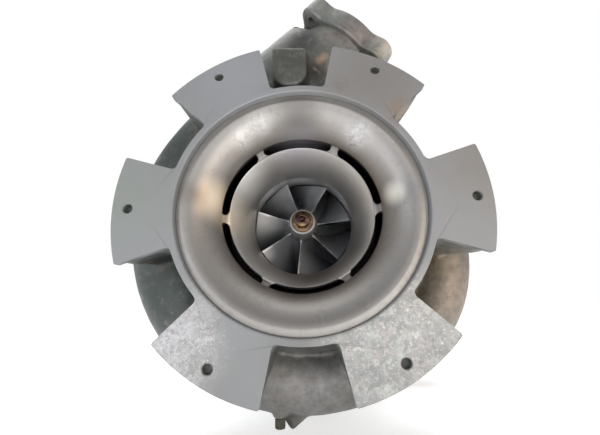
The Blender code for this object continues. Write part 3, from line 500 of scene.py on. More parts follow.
def milled_aluminium(looks):
    """Face-milled cast aluminium: flat grey, each pad lighter or darker by painted light and shade, a painted
    highlight on the top of the ring's rounded edge, painted shade on the pad sides, pale crystalline blooms
    low down and stains.
    """
    finish, tree, shader, spot = new_finish("milled_aluminium", 0.55, 0.30)
    cloud = add_node(tree, "ShaderNodeTexNoise", {"Vector": spot, "Scale": millimetres(90),
                                                  "Detail": 3.0}).outputs["Fac"]
    fine = add_node(tree, "ShaderNodeTexNoise", {"Vector": spot, "Scale": millimetres(2.5),
                                                 "Detail": 2.0}).outputs["Fac"]
    colour = mixed(tree, cloud, opaque(looks.pad_colour), opaque(linear("#7e7f7e")))
    # Painted light and shade: each pad is made lighter or darker on its own, standing in for how the light
    # falls on it.
    colour = tinted(tree, spot, colour, (((0.14, 0.0, 0.24), 0.17, 0.7, "#726e6a"),
                                         ((-0.31, 0.0, 0.02), 0.13, 0.8, "#7d837d"),
                                         ((0.32, 0.0, 0.06), 0.12, 0.7, "#797672"),
                                         ((-0.12, 0.0, 0.26), 0.14, 0.6, "#8d8f95"),
                                         ((0.0, 0.0, -0.235), 0.09, 0.6, "#6c6c69")))
    ragged = add_node(tree, "ShaderNodeTexNoise", {"Vector": spot, "Scale": millimetres(14),
                                                   "Detail": 6.0, "Roughness": 0.75})
    broken = add_node(tree, "ShaderNodeMapRange", {"Value": ragged.outputs["Fac"],
                                                   "From Min": 0.40, "From Max": 0.60}).outputs[0]
    colour = tinted(tree, spot, colour, (((0.186, 0.0, 0.170), 0.040, 0.9, "#846a52"),
                                         ((0.078, 0.0, 0.225), 0.030, 0.5, "#6c625e"),
                                         ((0.170, 0.0, 0.150), 0.030, 0.5, "#705f5c")), broken)
    # Painted highlight: surfaces set back from the face, near the top, are made lighter, for light on the
    # ring's rounded inner edge.
    edge = add_node(tree, "ShaderNodeMapRange", {
        "Value": add_node(tree, "ShaderNodeSeparateXYZ", {"Vector": spot}).outputs["Y"],
        "From Min": 0.0006, "From Max": 0.003}).outputs["Result"]
    colour = tinted(tree, spot, colour, (((0.0, 0.0, 0.205), 0.190, 0.9, "#8f9090"),), edge)
    swirl = add_node(tree, "ShaderNodeTexNoise", {"Vector": spot, "Scale": millimetres(17),
                                                  "Detail": 5.0, "Roughness": 0.68})
    bent = add_node(tree, "ShaderNodeVectorMath", {0: swirl.outputs["Color"], 1: (0.06, 0.06, 0.06)},
                    operation="MULTIPLY").outputs["Vector"]
    bent = add_node(tree, "ShaderNodeVectorMath", {0: spot, 1: bent}).outputs["Vector"]
    flakes = add_node(tree, "ShaderNodeTexVoronoi", {"Vector": bent, "Scale": millimetres(9)})
    seams = add_node(tree, "ShaderNodeTexVoronoi", {"Vector": bent, "Scale": millimetres(9)},
                     feature="DISTANCE_TO_EDGE").outputs["Distance"]
    milky = add_node(tree, "ShaderNodeTexNoise", {"Vector": bent, "Scale": millimetres(22),
                                                  "Detail": 6.0, "Roughness": 0.72,
                                                  "Distortion": 0.8})
    left = near_spot(tree, spot, (-0.205, 0.0, -0.215), 0.110)
    right = near_spot(tree, spot, (0.138, 0.0, -0.228), 0.150)
    where = add_node(tree, "ShaderNodeMath", {0: left, 1: right}, operation="MAXIMUM").outputs[0]
    where = add_node(tree, "ShaderNodeMath", {0: where, 1: 2.4}, operation="MULTIPLY",
                     use_clamp=True).outputs[0]
    flat = add_node(tree, "ShaderNodeVectorMath", {0: spot, 1: (1.0, 0.0, 1.0)},
                    operation="MULTIPLY").outputs["Vector"]
    radius = add_node(tree, "ShaderNodeVectorMath", {0: flat}, operation="LENGTH").outputs["Value"]
    clear = add_node(tree, "ShaderNodeMapRange", {"Value": radius, "From Min": 0.196,
                                                  "From Max": 0.216}).outputs["Result"]
    where = add_node(tree, "ShaderNodeMath", {0: where, 1: clear}, operation="MULTIPLY").outputs[0]
    spread = add_node(tree, "ShaderNodeMapRange", {"Value": milky.outputs["Fac"],
                                                   "From Min": 0.30, "From Max": 0.56}).outputs[0]
    share = add_node(tree, "ShaderNodeMath", {0: where, 1: spread}, operation="MULTIPLY").outputs[0]
    flake = add_node(tree, "ShaderNodeSeparateXYZ", {"Vector": flakes.outputs["Color"]})
    cool = mixed(tree, flake.outputs["X"], opaque(linear("#888c88")), opaque(linear("#a4a9a5")))
    warm = mixed(tree, flake.outputs["X"], opaque(linear("#8e8a8a")), opaque(linear("#b0abaa")))
    pale = mixed(tree, flake.outputs["Y"], cool, warm)
    pale = tinted(tree, spot, pale, (((-0.215, 0.0, -0.205), 0.110, 0.75, "#bfbec1"),))
    colour = mixed(tree, share, colour, pale)
    line = add_node(tree, "ShaderNodeMapRange", {"Value": seams, "From Max": 0.12,
                                                 "To Min": 0.85, "To Max": 0.0}).outputs["Result"]
    patchy = add_node(tree, "ShaderNodeMapRange", {"Value": swirl.outputs["Fac"],
                                                   "From Min": 0.42, "From Max": 0.56}).outputs[0]
    line = add_node(tree, "ShaderNodeMath", {0: line, 1: patchy}, operation="MULTIPLY").outputs[0]
    line = add_node(tree, "ShaderNodeMath", {0: line, 1: where}, operation="MULTIPLY").outputs[0]
    colour = mixed(tree, line, colour, opaque(linear("#747773")))
    specks = add_node(tree, "ShaderNodeTexNoise", {"Vector": spot, "Scale": millimetres(5),
                                                   "Detail": 3.0}).outputs["Fac"]
    for low, high, tint in ((0.60, 0.70, "#d2d2d0"), (0.40, 0.33, "#6f726f")):
        fleck = add_node(tree, "ShaderNodeMapRange", {"Value": specks, "From Min": low,
                                                      "From Max": high, "To Max": 0.5})
        fleck = add_node(tree, "ShaderNodeMath", {0: fleck.outputs["Result"], 1: where},
                         operation="MULTIPLY").outputs[0]
        colour = mixed(tree, fleck, colour, opaque(linear(tint)))
    # Painted shade: set-back surfaces between radii 0.270 and 0.318, the sides of the pads, are darkened.
    wall = banded(tree, radius, colour, ((0.270, 0.294, 0.318, 0.8, "#2f302f"),))
    colour = mixed(tree, edge, colour, wall)
    dents = add_node(tree, "ShaderNodeMath", {0: share, 1: milky.outputs["Fac"]},
                     operation="MULTIPLY").outputs[0]
    height = add_node(tree, "ShaderNodeMath", {0: dents, 1: 1.6, 2: fine},
                      operation="MULTIPLY_ADD").outputs[0]
    rough = add_node(tree, "ShaderNodeMapRange", {"Value": share, "To Min": 0.55,
                                                  "To Max": 0.36}).outputs["Result"]
    bump = add_node(tree, "ShaderNodeBump", {"Height": height, "Strength": 0.30,
                                             "Distance": 0.0005})
    tree.links.new(rough, shader.inputs["Roughness"])
    tree.links.new(colour, shader.inputs["Base Color"])
    tree.links.new(bump.outputs["Normal"], shader.inputs["Normal"])
    return finish


def turned_aluminium(looks):
    """Aluminium turned on a lathe: fine rings, broad soft gloss, scuffs, painted highlights and shade on the
    flare and the shroud ring, and painted shade deep in the slot.
    """
    finish, tree, shader, spot = new_finish("turned_aluminium", 0.42, 0.85)
    parts = add_node(tree, "ShaderNodeSeparateXYZ", {"Vector": spot}).outputs
    flat = add_node(tree, "ShaderNodeCombineXYZ", {"X": parts["X"], "Z": parts["Z"]})
    radius = add_node(tree, "ShaderNodeVectorMath", {0: flat.outputs["Vector"]},
                      operation="LENGTH").outputs["Value"]
    rings = add_node(tree, "ShaderNodeTexNoise", {"W": radius, "Scale": millimetres(1.6),
                                                  "Detail": 3.0}, noise_dimensions="1D")
    cloud = add_node(tree, "ShaderNodeTexNoise", {"Vector": spot, "Scale": millimetres(55),
                                                  "Detail": 4.0, "Roughness": 0.6})
    scuff = add_node(tree, "ShaderNodeTexNoise", {"Vector": spot, "Scale": millimetres(14),
                                                  "Detail": 6.0, "Roughness": 0.75,
                                                  "Distortion": 0.8})
    colour = mixed(tree, cloud.outputs["Fac"], opaque(looks.bell_colour),
                   opaque(linear("#9b9792")))
    marks = add_node(tree, "ShaderNodeMapRange", {"Value": scuff.outputs["Fac"], "From Min": 0.55,
                                                  "From Max": 0.75, "To Max": 0.5})
    colour = mixed(tree, marks.outputs["Result"], colour, opaque(linear("#6e655c")))
    # Painted shade and light in rings: darker from the slot's edge out across the flare and near the lip,
    # darker at the shroud ring's nose edge, lighter over the shroud ring's inner face.
    colour = banded(tree, radius, colour, (
        (0.1476, 0.1480, 0.185, 0.72, "#675f57"), (0.176, 0.194, 0.228, 0.52, "#6d6b69"),
        (0.122, 0.1364, 0.1370, 0.82, "#605f5c"), (0.090, 0.1335, 0.1370, 0.80, "#cccac7")))
    # Painted highlights and shade: warm highlights on the left of the flare and a pale one on its right,
    # shade on the lip's left and right, at the top and low down by the slot, shade low on the shroud ring and
    # light on its upper left and left.
    colour = tinted(tree, spot, colour, (
        ((-0.158, 0.045, 0.022), 0.056, 1.0, "#f4e2ca"),
        ((-0.190, 0.016, 0.028), 0.034, 0.65, "#6c6660"),
        ((-0.143, 0.075, -0.012), 0.040, 0.90, "#d2bb9c"),
        ((0.190, 0.016, 0.018), 0.036, 0.45, "#757578"),
        ((0.0, 0.038, 0.163), 0.070, 0.80, "#575553"),
        ((0.164, 0.033, 0.021), 0.030, 0.80, "#e2e1d4"),
        ((0.0, 0.020, 0.195), 0.060, 0.45, "#5b5957"),
        ((-0.02, 0.060, -0.148), 0.048, 0.45, "#554c45"),
        ((0.02, 0.100, -0.110), 0.085, 0.80, "#6f6965"),
        ((0.10, 0.100, -0.060), 0.070, 0.60, "#76726e"),
        ((-0.095, 0.090, 0.070), 0.060, 0.90, "#f8f6f2"),
        ((-0.115, 0.090, 0.000), 0.060, 0.90, "#f6ecd8")))
    # Painted highlights, broken up by the scuff noise, on the upper left and upper right of the flare.
    ragged_highlight = add_node(tree, "ShaderNodeMapRange", {"Value": scuff.outputs["Fac"], "From Min": 0.38,
                                                   "From Max": 0.60}).outputs["Result"]
    colour = tinted(tree, spot, colour, (((-0.074, 0.020, 0.163), 0.036, 0.42, "#d8d7d5"),
                                         ((-0.104, 0.024, 0.138), 0.034, 0.45, "#dedddb"),
                                         ((0.108, 0.026, 0.136), 0.042, 0.50, "#dddde0")), ragged_highlight)
    # Painted glints: surfaces deeper than 0.148 by the throat's edge are made white at the upper left, top
    # and upper right.
    lip = add_node(tree, "ShaderNodeMapRange", {"Value": parts["Y"], "From Min": 0.148,
                                                "From Max": 0.152}).outputs["Result"]
    colour = tinted(tree, spot, colour, (((-0.078, 0.160, 0.072), 0.055, 1.0, "#ffffff"),
                                         ((-0.010, 0.160, 0.105), 0.055, 1.0, "#ffffff"),
                                         ((0.085, 0.160, 0.062), 0.055, 1.0, "#ffffff")), lip)
    # Painted shade: the channel behind the slot, deeper than 0.060 and outside radius 0.1365, is made nearly
    # black.
    channel_deep = add_node(tree, "ShaderNodeMapRange", {"Value": parts["Y"], "From Min": 0.060,
                                                         "From Max": 0.080}).outputs["Result"]
    channel_out = add_node(tree, "ShaderNodeMapRange", {"Value": radius, "From Min": 0.1365,
                                                        "From Max": 0.1400}).outputs["Result"]
    painted_channel_shade = add_node(tree, "ShaderNodeMath", {0: channel_deep, 1: channel_out},
                    operation="MULTIPLY").outputs[0]
    colour = mixed(tree, painted_channel_shade, colour, opaque(linear("#14110f")))
    # Painted light: a pale lilac-grey patch on the channel wall seen through the top of the slot.
    colour = tinted(tree, spot, colour, (((0.0, 0.105, 0.155), 0.085, 1.0, "#c9c5cc"),))
    gloss = add_node(tree, "ShaderNodeMapRange", {"Value": scuff.outputs["Fac"], "To Min": 0.34,
                                                  "To Max": 0.52}).outputs["Result"]
    bump = add_node(tree, "ShaderNodeBump", {"Height": rings.outputs["Fac"], "Strength": 0.25,
                                             "Distance": 0.0004})
    tree.links.new(colour, shader.inputs["Base Color"])
    tree.links.new(gloss, shader.inputs["Roughness"])
    tree.links.new(bump.outputs["Normal"], shader.inputs["Normal"])
    return finish


def sand_cast_aluminium(looks):
    """Aluminium cast in sand: dull grey, gritty, with painted shade in the bays and recesses, painted light
    on the neck and in the lower and right bays, and brown stains.
    """
    finish, tree, shader, spot = new_finish("sand_cast_aluminium", 0.55, 0.55)
    grit = add_node(tree, "ShaderNodeTexNoise", {"Vector": spot, "Detail": 5.0,
                                                 "Scale": 1.0 / looks.grain, "Roughness": 0.65})
    cloud = add_node(tree, "ShaderNodeTexNoise", {"Vector": spot, "Scale": millimetres(60),
                                                  "Detail": 4.0})
    stain = add_node(tree, "ShaderNodeTexNoise", {"Vector": spot, "Scale": millimetres(38),
                                                  "Detail": 5.0, "Roughness": 0.7})
    colour = mixed(tree, cloud.outputs["Fac"], opaque(looks.cast_colour),
                   opaque(linear("#656863")))
    # Patches by place. Painted shade: the left bays, the top bay and beside the boss, behind the flange's
    # ear, the walls and top band of the bottom bay, and under the left leg. Painted light: along the
    # discharge neck and its right ear, in the bottom bay and the lower right bay. Also a pale tan patch
    # beside the upper right pad, a darker patch by the drain lug and two small tan spots by the boss.
    colour = tinted(tree, spot, colour, (
        ((-0.29, 0.10, 0.18), 0.18, 1.0, "#3e4542"),
        ((-0.29, 0.10, -0.14), 0.17, 1.0, "#424947"),
        ((-0.02, 0.08, 0.35), 0.12, 0.9, "#484943"),
        ((0.036, 0.084, 0.325), 0.044, 1.0, "#2c2523"),
        ((0.009, 0.078, 0.411), 0.065, 1.0, "#353435"),
        ((0.080, 0.070, 0.408), 0.050, 0.9, "#7c7a77"),
        ((0.14, 0.065, 0.41), 0.07, 1.0, "#867e7b"),
        ((0.205, 0.070, 0.37), 0.055, 1.0, "#b4afa3"),
        ((0.05, 0.066, 0.49), 0.055, 1.0, "#848481"),
        ((0.0, 0.115, -0.31), 0.15, 1.0, "#868482"),
        ((-0.075, 0.08, -0.28), 0.040, 0.9, "#5d534c"),
        ((0.080, 0.08, -0.28), 0.040, 0.9, "#41464a"),
        ((0.0, 0.11, -0.24), 0.030, 0.8, "#656462"),
        ((0.29, 0.12, -0.15), 0.15, 0.9, "#96897b"),
        ((0.271, 0.139, -0.091), 0.050, 0.6, "#a3957f"),
        ((-0.264, 0.060, -0.075), 0.065, 1.0, "#191c1b"),
        ((0.205, 0.040, 0.170), 0.050, 1.0, "#b7a189"),
        ((-0.04, 0.155, -0.375), 0.035, 1.0, "#45443f"),
        ((0.050, 0.075, 0.347), 0.015, 0.6, "#93775a"),
        ((0.060, 0.075, 0.357), 0.014, 0.6, "#a08a72")))
    # Painted shade: the casting behind each tapped hole of the pads is made nearly black.
    around = np.arange(6) * np.pi / 3
    holes = zip(BOLT_CIRCLE_R * np.cos(around), BOLT_CIRCLE_R * np.sin(around))
    colour = tinted(tree, spot, colour, [((float(x), 0.026, float(z)), 0.030, 1.0, "#1d1d1b")
                                         for x, z in holes])
    mottle = add_node(tree, "ShaderNodeTexNoise", {"Vector": spot, "Scale": millimetres(17),
                                                   "Detail": 6.0, "Roughness": 0.7}).outputs["Fac"]
    dim = add_node(tree, "ShaderNodeMapRange", {"Value": mottle, "From Min": 0.46, "From Max": 0.68,
                                                "To Max": 0.40}).outputs["Result"]
    colour = mixed(tree, dim, colour, opaque(linear("#3b3a36")))
    lit = add_node(tree, "ShaderNodeMapRange", {"Value": mottle, "From Min": 0.44, "From Max": 0.28,
                                                "To Max": 0.22}).outputs["Result"]
    colour = mixed(tree, lit, colour, opaque(linear("#b9b6ae")))
    rust = add_node(tree, "ShaderNodeMapRange", {"Value": stain.outputs["Fac"], "From Min": 0.56,
                                                 "From Max": 0.82, "To Max": 0.5})
    colour = mixed(tree, rust.outputs["Result"], colour, opaque(linear("#7d6a58")))
    height = add_node(tree, "ShaderNodeMath", {0: cloud.outputs["Fac"], 1: 1.5,
                                               2: grit.outputs["Fac"]}, operation="MULTIPLY_ADD")
    bump = add_node(tree, "ShaderNodeBump", {"Height": height.outputs[0], "Strength": 0.45,
                                             "Distance": 0.0009})
    tree.links.new(colour, shader.inputs["Base Color"])
    tree.links.new(bump.outputs["Normal"], shader.inputs["Normal"])
    return finish


def milled_wheel_alloy(looks):
    """Aluminium alloy milled in close passes: painted light at the left and the tips, painted shade deeper in
    the passages.
    """
    finish, tree, shader, spot = new_finish("milled_wheel_alloy", 0.24, 0.40)
    lines = add_node(tree, "ShaderNodeTexWave", {"Vector": spot, "Scale": millimetres(9),
                                                 "Distortion": 1.5, "Detail": 2.0},
                     bands_direction="Y")
    film = add_node(tree, "ShaderNodeTexNoise", {"Vector": spot, "Scale": millimetres(30),
                                                 "Detail": 4.0})
    colour = mixed(tree, film.outputs["Fac"], opaque(looks.wheel_colour),
                   opaque(linear("#6c6e70")))
    # Painted light and shade: lighter on the left and white at the lower left tips, darker on the lower right
    # and upper right; the last patch is the collar's own warm beige.
    colour = tinted(tree, spot, colour, (((-0.085, 0.175, 0.012), 0.060, 0.9, "#d3d3d2"),
                                         ((0.050, 0.200, -0.040), 0.090, 0.9, "#46474a"),
                                         ((0.070, 0.190, 0.050), 0.050, 0.6, "#4c4a4b"),
                                         ((-0.090, 0.185, -0.050), 0.036, 1.0, "#ffffff"),
                                         ((0.0, 0.150, 0.0), 0.045, 0.95, "#76664e")))
    # Painted shade: the wheel darkens with depth, from 0.180 to 0.236, down into the passages.
    deep = add_node(tree, "ShaderNodeSeparateXYZ", {"Vector": spot}).outputs["Y"]
    deep = add_node(tree, "ShaderNodeMapRange", {"Value": deep, "From Min": 0.180,
                                                 "From Max": 0.236, "To Max": 0.86},
                    interpolation_type="SMOOTHSTEP").outputs["Result"]
    colour = mixed(tree, deep, colour, opaque(linear("#3b3c3e")))
    gloss = add_node(tree, "ShaderNodeMapRange", {"Value": film.outputs["Fac"], "To Min": 0.16,
                                                  "To Max": 0.32}).outputs["Result"]
    bump = add_node(tree, "ShaderNodeBump", {"Height": lines.outputs["Fac"], "Strength": 0.12,
                                             "Distance": 0.0003})
    tree.links.new(colour, shader.inputs["Base Color"])
    tree.links.new(gloss, shader.inputs["Roughness"])
    tree.links.new(bump.outputs["Normal"], shader.inputs["Normal"])
    return finish


def passivated_nut_steel():
    """Passivated steel: brassy gold with patches of purple where the film is thicker, painted shade in the
    centre hole and a painted glint low on the hexagon.
    """
    finish, tree, shader, spot = new_finish("passivated_nut_steel", 0.30, 1.0)
    film = add_node(tree, "ShaderNodeTexNoise", {"Vector": spot, "Scale": millimetres(16),
                                                 "Detail": 3.0})
    share = add_node(tree, "ShaderNodeMapRange", {"Value": film.outputs["Fac"], "From Min": 0.42,
                                                  "From Max": 0.62}).outputs["Result"]
    colour = mixed(tree, share, opaque(linear("#63523f")), opaque(linear("#38292a")))
    front = near("shaft_nut")
    # Painted shade in the centre hole and a painted glint low on the hexagon.
    colour = tinted(tree, spot, colour, (((0.0, front + 0.012, 0.0), 0.0105, 1.0, "#0d0908"),
                                         ((0.0, front + 0.004, -0.016), 0.012, 0.7, "#a08a5c")))
    tree.links.new(colour, shader.inputs["Base Color"])
    return finish


def forged_steel(name="forged_steel", tint="#8d8a86", dirt="#574f47"):
    """Forged and turned steel: darker than the castings, with dull oily patches."""
    finish, tree, shader, spot = new_finish(name, 0.38, 0.95)
    dull = add_node(tree, "ShaderNodeTexNoise", {"Vector": spot, "Scale": millimetres(22),
                                                 "Detail": 5.0, "Roughness": 0.65})
    share = add_node(tree, "ShaderNodeMapRange", {"Value": dull.outputs["Fac"], "From Min": 0.4,
                                                  "From Max": 0.7}).outputs["Result"]
    colour = mixed(tree, share, opaque(linear(tint)), opaque(linear(dirt)))
    gloss = add_node(tree, "ShaderNodeMapRange", {"Value": share, "To Min": 0.30,
                                                  "To Max": 0.55}).outputs["Result"]
    tree.links.new(colour, shader.inputs["Base Color"])
    tree.links.new(gloss, shader.inputs["Roughness"])
    return finish


def housing_enamel(looks):
    """Grey machine enamel on cast iron: satin, slightly orange-peeled, rubbed and oily in places."""
    finish, tree, shader, spot = new_finish("housing_enamel", 0.42, 0.0)
    peel = add_node(tree, "ShaderNodeTexNoise", {"Vector": spot, "Scale": millimetres(3.0),
                                                 "Detail": 3.0})
    cloud = add_node(tree, "ShaderNodeTexNoise", {"Vector": spot, "Scale": millimetres(80),
                                                  "Detail": 5.0, "Roughness": 0.6})
    worn = add_node(tree, "ShaderNodeMapRange", {"Value": cloud.outputs["Fac"], "From Min": 0.5,
                                                 "From Max": 0.72, "To Max": 0.7})
    colour = mixed(tree, worn.outputs["Result"], opaque(looks.housing_colour),
                   opaque(linear("#4b4a44")))
    bump = add_node(tree, "ShaderNodeBump", {"Height": peel.outputs["Fac"], "Strength": 0.3,
                                             "Distance": 0.0006})
    tree.links.new(colour, shader.inputs["Base Color"])
    tree.links.new(bump.outputs["Normal"], shader.inputs["Normal"])
    return finish


def heat_stained_iron(looks):
    """Iron that has run hot: matt brown scale over grey, rough as it left the sand."""
    finish, tree, shader, spot = new_finish("heat_stained_iron", 0.72, 0.35)
    scale = add_node(tree, "ShaderNodeTexNoise", {"Vector": spot, "Scale": millimetres(26),
                                                  "Detail": 6.0, "Roughness": 0.72})
    grit = add_node(tree, "ShaderNodeTexNoise", {"Vector": spot, "Scale": millimetres(2.8),
                                                 "Detail": 4.0, "Roughness": 0.7})
    share = add_node(tree, "ShaderNodeMapRange", {"Value": scale.outputs["Fac"], "From Min": 0.42,
                                                  "From Max": 0.66}).outputs["Result"]
    colour = mixed(tree, share, opaque(looks.hot_colour), opaque(linear("#84512f")))
    height = add_node(tree, "ShaderNodeMath", {0: scale.outputs["Fac"], 1: 1.6,
                                               2: grit.outputs["Fac"]}, operation="MULTIPLY_ADD")
    bump = add_node(tree, "ShaderNodeBump", {"Height": height.outputs[0], "Strength": 0.5,
                                             "Distance": 0.0011})
    tree.links.new(colour, shader.inputs["Base Color"])
    tree.links.new(bump.outputs["Normal"], shader.inputs["Normal"])
    return finish


def zinc_plate():
    """Zinc-plated steel of bolts and plugs: bright grey with a faint yellow cast."""
    finish, tree, shader, spot = new_finish("zinc_plate", 0.36, 1.0)
    dull = add_node(tree, "ShaderNodeTexNoise", {"Vector": spot, "Scale": millimetres(12),
                                                 "Detail": 4.0})
    colour = mixed(tree, dull.outputs["Fac"], opaque(linear("#605e56")),
                   opaque(linear("#44423c")))
    tree.links.new(colour, shader.inputs["Base Color"])
    return finish


def bearing_bronze():
    """Leaded bronze of the journal bearings: warm, satin, lightly scored."""
    finish, tree, shader, spot = new_finish("bearing_bronze", 0.34, 1.0)
    wear = add_node(tree, "ShaderNodeTexNoise", {"Vector": spot, "Scale": millimetres(10),
                                                 "Detail": 3.0})
    colour = mixed(tree, wear.outputs["Fac"], opaque(linear("#b58a4e")),
                   opaque(linear("#8a6437")))
    tree.links.new(colour, shader.inputs["Base Color"])
    return finish


def finish_named(name):
    """A finish by the name of its material slot, made on first use."""
    looks = bpy.context.scene.turbocharger_looks
    makers = {
        "machined_pad": lambda: milled_aluminium(looks),
        "turned_bellmouth": lambda: turned_aluminium(looks),
        "cast_casing": lambda: sand_cast_aluminium(looks),
        "milled_wheel": lambda: milled_wheel_alloy(looks),
        "bronzed_nut": passivated_nut_steel,
        "forged_steel": forged_steel,
        "grey_housing": lambda: housing_enamel(looks),
        "hot_casting": lambda: heat_stained_iron(looks),
        "plated_fitting": zinc_plate,
        "bearing_bronze": bearing_bronze,
    }
    if name not in FINISHES:
        FINISHES[name] = makers[name]()
    return FINISHES[name]


FINISHES = {}


# Inlet end


def pad_outline(middle, steps=10):
    """Outline of a pad in polar form: inner arc, side, outer arc, side, with soft corners.

    Angle runs straight out on the sides; the foot of each side flares on to the ring by a fillet.
    """
    corner, fillet = 0.0035, 0.009
    side = PAD_HALF_ANGLE
    inner = np.linspace(-side - fillet / RING_OUTER_R, side + fillet / RING_OUTER_R, 2 * steps)
    rise = np.linspace(0, 1, steps) ** 1.0
    turn = np.pi / 2 * rise
    foot_r = RING_OUTER_R + fillet * (1 - np.cos(turn))
    foot_a = side + fillet / RING_OUTER_R * (1 - np.sin(turn))
    top_r = PAD_OUTER_R - corner * (1 - np.sin(turn))
    top_a = side - corner / PAD_OUTER_R * (1 - np.cos(turn))
    outer = np.linspace(side, -side, 3 * steps + 2)[1:-1] * (1 - corner / PAD_OUTER_R / side)
    radius = np.concatenate([np.full(inner.size, RING_OUTER_R), foot_r[1:], top_r,
                             np.full(outer.size, PAD_OUTER_R), top_r[::-1], foot_r[:0:-1]])
    angle = np.concatenate([inner, foot_a[1:], top_a, outer, -top_a[::-1], -foot_a[:0:-1]])
    angle = angle + middle
    return np.stack([radius * np.cos(angle), radius * np.sin(angle)], -1)


def slab(outline, near_depth, far_depth, rows=2):
    """An outline of (x, z) points carried along the shaft, closed at both ends."""
    depth = np.linspace(near_depth, far_depth, rows)
    sections = np.stack(np.broadcast_arrays(outline[None, :, 0], depth[:, None],
                                            outline[None, :, 1]), -1)
    return swept(sections)


def tapped_hole(middle):
    """Cutter of a tapped hole: countersink, then thread ridges 2 mm apart."""
    depth = np.linspace(0, 0.040, 121)
    ridge = 0.00045 * np.abs((depth / 0.002) % 1.0 * 2 - 1)
    radius = TAPPED_HOLE_R - ridge + np.clip(0.0016 - depth, 0, None)
    profile = np.concatenate([[[0, -0.005], [radius[0], -0.005]], np.stack([radius, depth], -1),
                              [[0, 0.046]]])
    place = (BOLT_CIRCLE_R * np.cos(middle), 0.0, BOLT_CIRCLE_R * np.sin(middle))
    return lathe(profile, place, steps=24, closed=False)


class TURBOCHARGER_OT_inlet_pads(Operator):
    """Six milled pads, each with its tapped hole."""

    bl_idname = "turbocharger.inlet_pads"
    bl_label = "Inlet pads"

    def execute(self, context):
        for index in range(6):
            middle = index * np.pi / 3
            node = f"inlet_pad_{index + 1}"
            pad = piece(f"milled_{node}", [slab(pad_outline(middle), 0, PAD_THICKNESS, 3)],
                        finish_named("machined_pad"), "housing", (node,))
            cut(pad, [tapped_hole(middle)])
            shade(pad, 30)
        return {"FINISHED"}


class TURBOCHARGER_OT_inlet_ring(Operator):
    """Ring between the pads: milled face, rounded inner edge and turned inner wall."""

    bl_idname = "turbocharger.inlet_ring"
    bl_label = "Inlet ring"

    def execute(self, context):
        shell = RING_INNER_R + 0.0045
        profile = rounded([(RING_INNER_R, 0, 0.003), (RING_OUTER_R, 0, 0), (RING_OUTER_R, 0.0110, 0),
                           (shell, 0.0112, 0), (shell, FRONT_WALL_DEPTH, 0),
                           (RING_INNER_R, FRONT_WALL_DEPTH, 0)], 7)
        piece("milled_inlet_ring", [turned(profile, 256)], finish_named("machined_pad"), "housing",
              ("inlet_ring",))
        return {"FINISHED"}


class TURBOCHARGER_OT_bellmouth(Operator):
    """Flared inlet with a flat lip, its rounded slot edge and the outer wall of the channel."""

    bl_idname = "turbocharger.bellmouth"
    bl_label = "Bell-mouth"

    def execute(self, context):
        rim = reach("bellmouth")
        flare = inward_curve((LIP_INNER_R, LIP_DEPTH), SLOT_OUTER, np.radians([12, 62]), 28)
        lip = [(LIP_INNER_R + 0.0004, LIP_DEPTH, 0), (rim, LIP_DEPTH, 0.0008)]
        back = [(rim, FRONT_WALL_DEPTH, 0), (INSERT_R, FRONT_WALL_DEPTH, 0),
                (INSERT_R, CHANNEL_DEPTH, 0), (CHANNEL_OUTER_R, CHANNEL_DEPTH, 0),
                (CHANNEL_OUTER_R, SLOT_OUTER[1] + 0.026, 0.012),
                (SLOT_OUTER[0] + 0.0006, SLOT_OUTER[1] + 0.0035, 0.0012)]
        curve = [(r, d, 0) for r, d in flare[::-1]]
        profile = rounded(lip + back + curve, 5)
        piece("turned_bellmouth", [turned(profile, 256)], finish_named("turned_bellmouth"),
              "housing", ("bellmouth",))
        return {"FINISHED"}


def wheel_tip(share):
    """Tip line of a compressor blade: radius grows as one minus a cosine, depth as a sine."""
    turn = np.pi / 2 * share
    return np.stack([EDGE_TIP_R + (WHEEL_EXIT_R - EDGE_TIP_R) * (1 - np.cos(turn)) ** 1.15,
                     EDGE_DEPTH + (EXIT_TIP_DEPTH - EDGE_DEPTH) * np.sin(turn)], -1)


def wheel_hub(share):
    """Hub line of the compressor wheel: a quarter oval from its nose to its rim."""
    turn = np.pi / 2 * share
    return np.stack([EDGE_ROOT_R + (WHEEL_EXIT_R - EDGE_ROOT_R) * (1 - np.cos(turn)),
                     EDGE_DEPTH + (EXIT_HUB_DEPTH - EDGE_DEPTH) * np.sin(turn)], -1)


def clear_of(line, gap, count):
    """A line of (radius, depth) moved off the wheel, square to its run, by the running gap."""
    share = np.linspace(0, 1, count)
    run = line(np.clip(share + 0.01, 0, 1)) - line(np.clip(share - 0.01, 0, 1))
    run /= np.linalg.norm(run, axis=1, keepdims=True)
    return line(share) + np.stack([run[:, 1], -run[:, 0]], -1) * gap


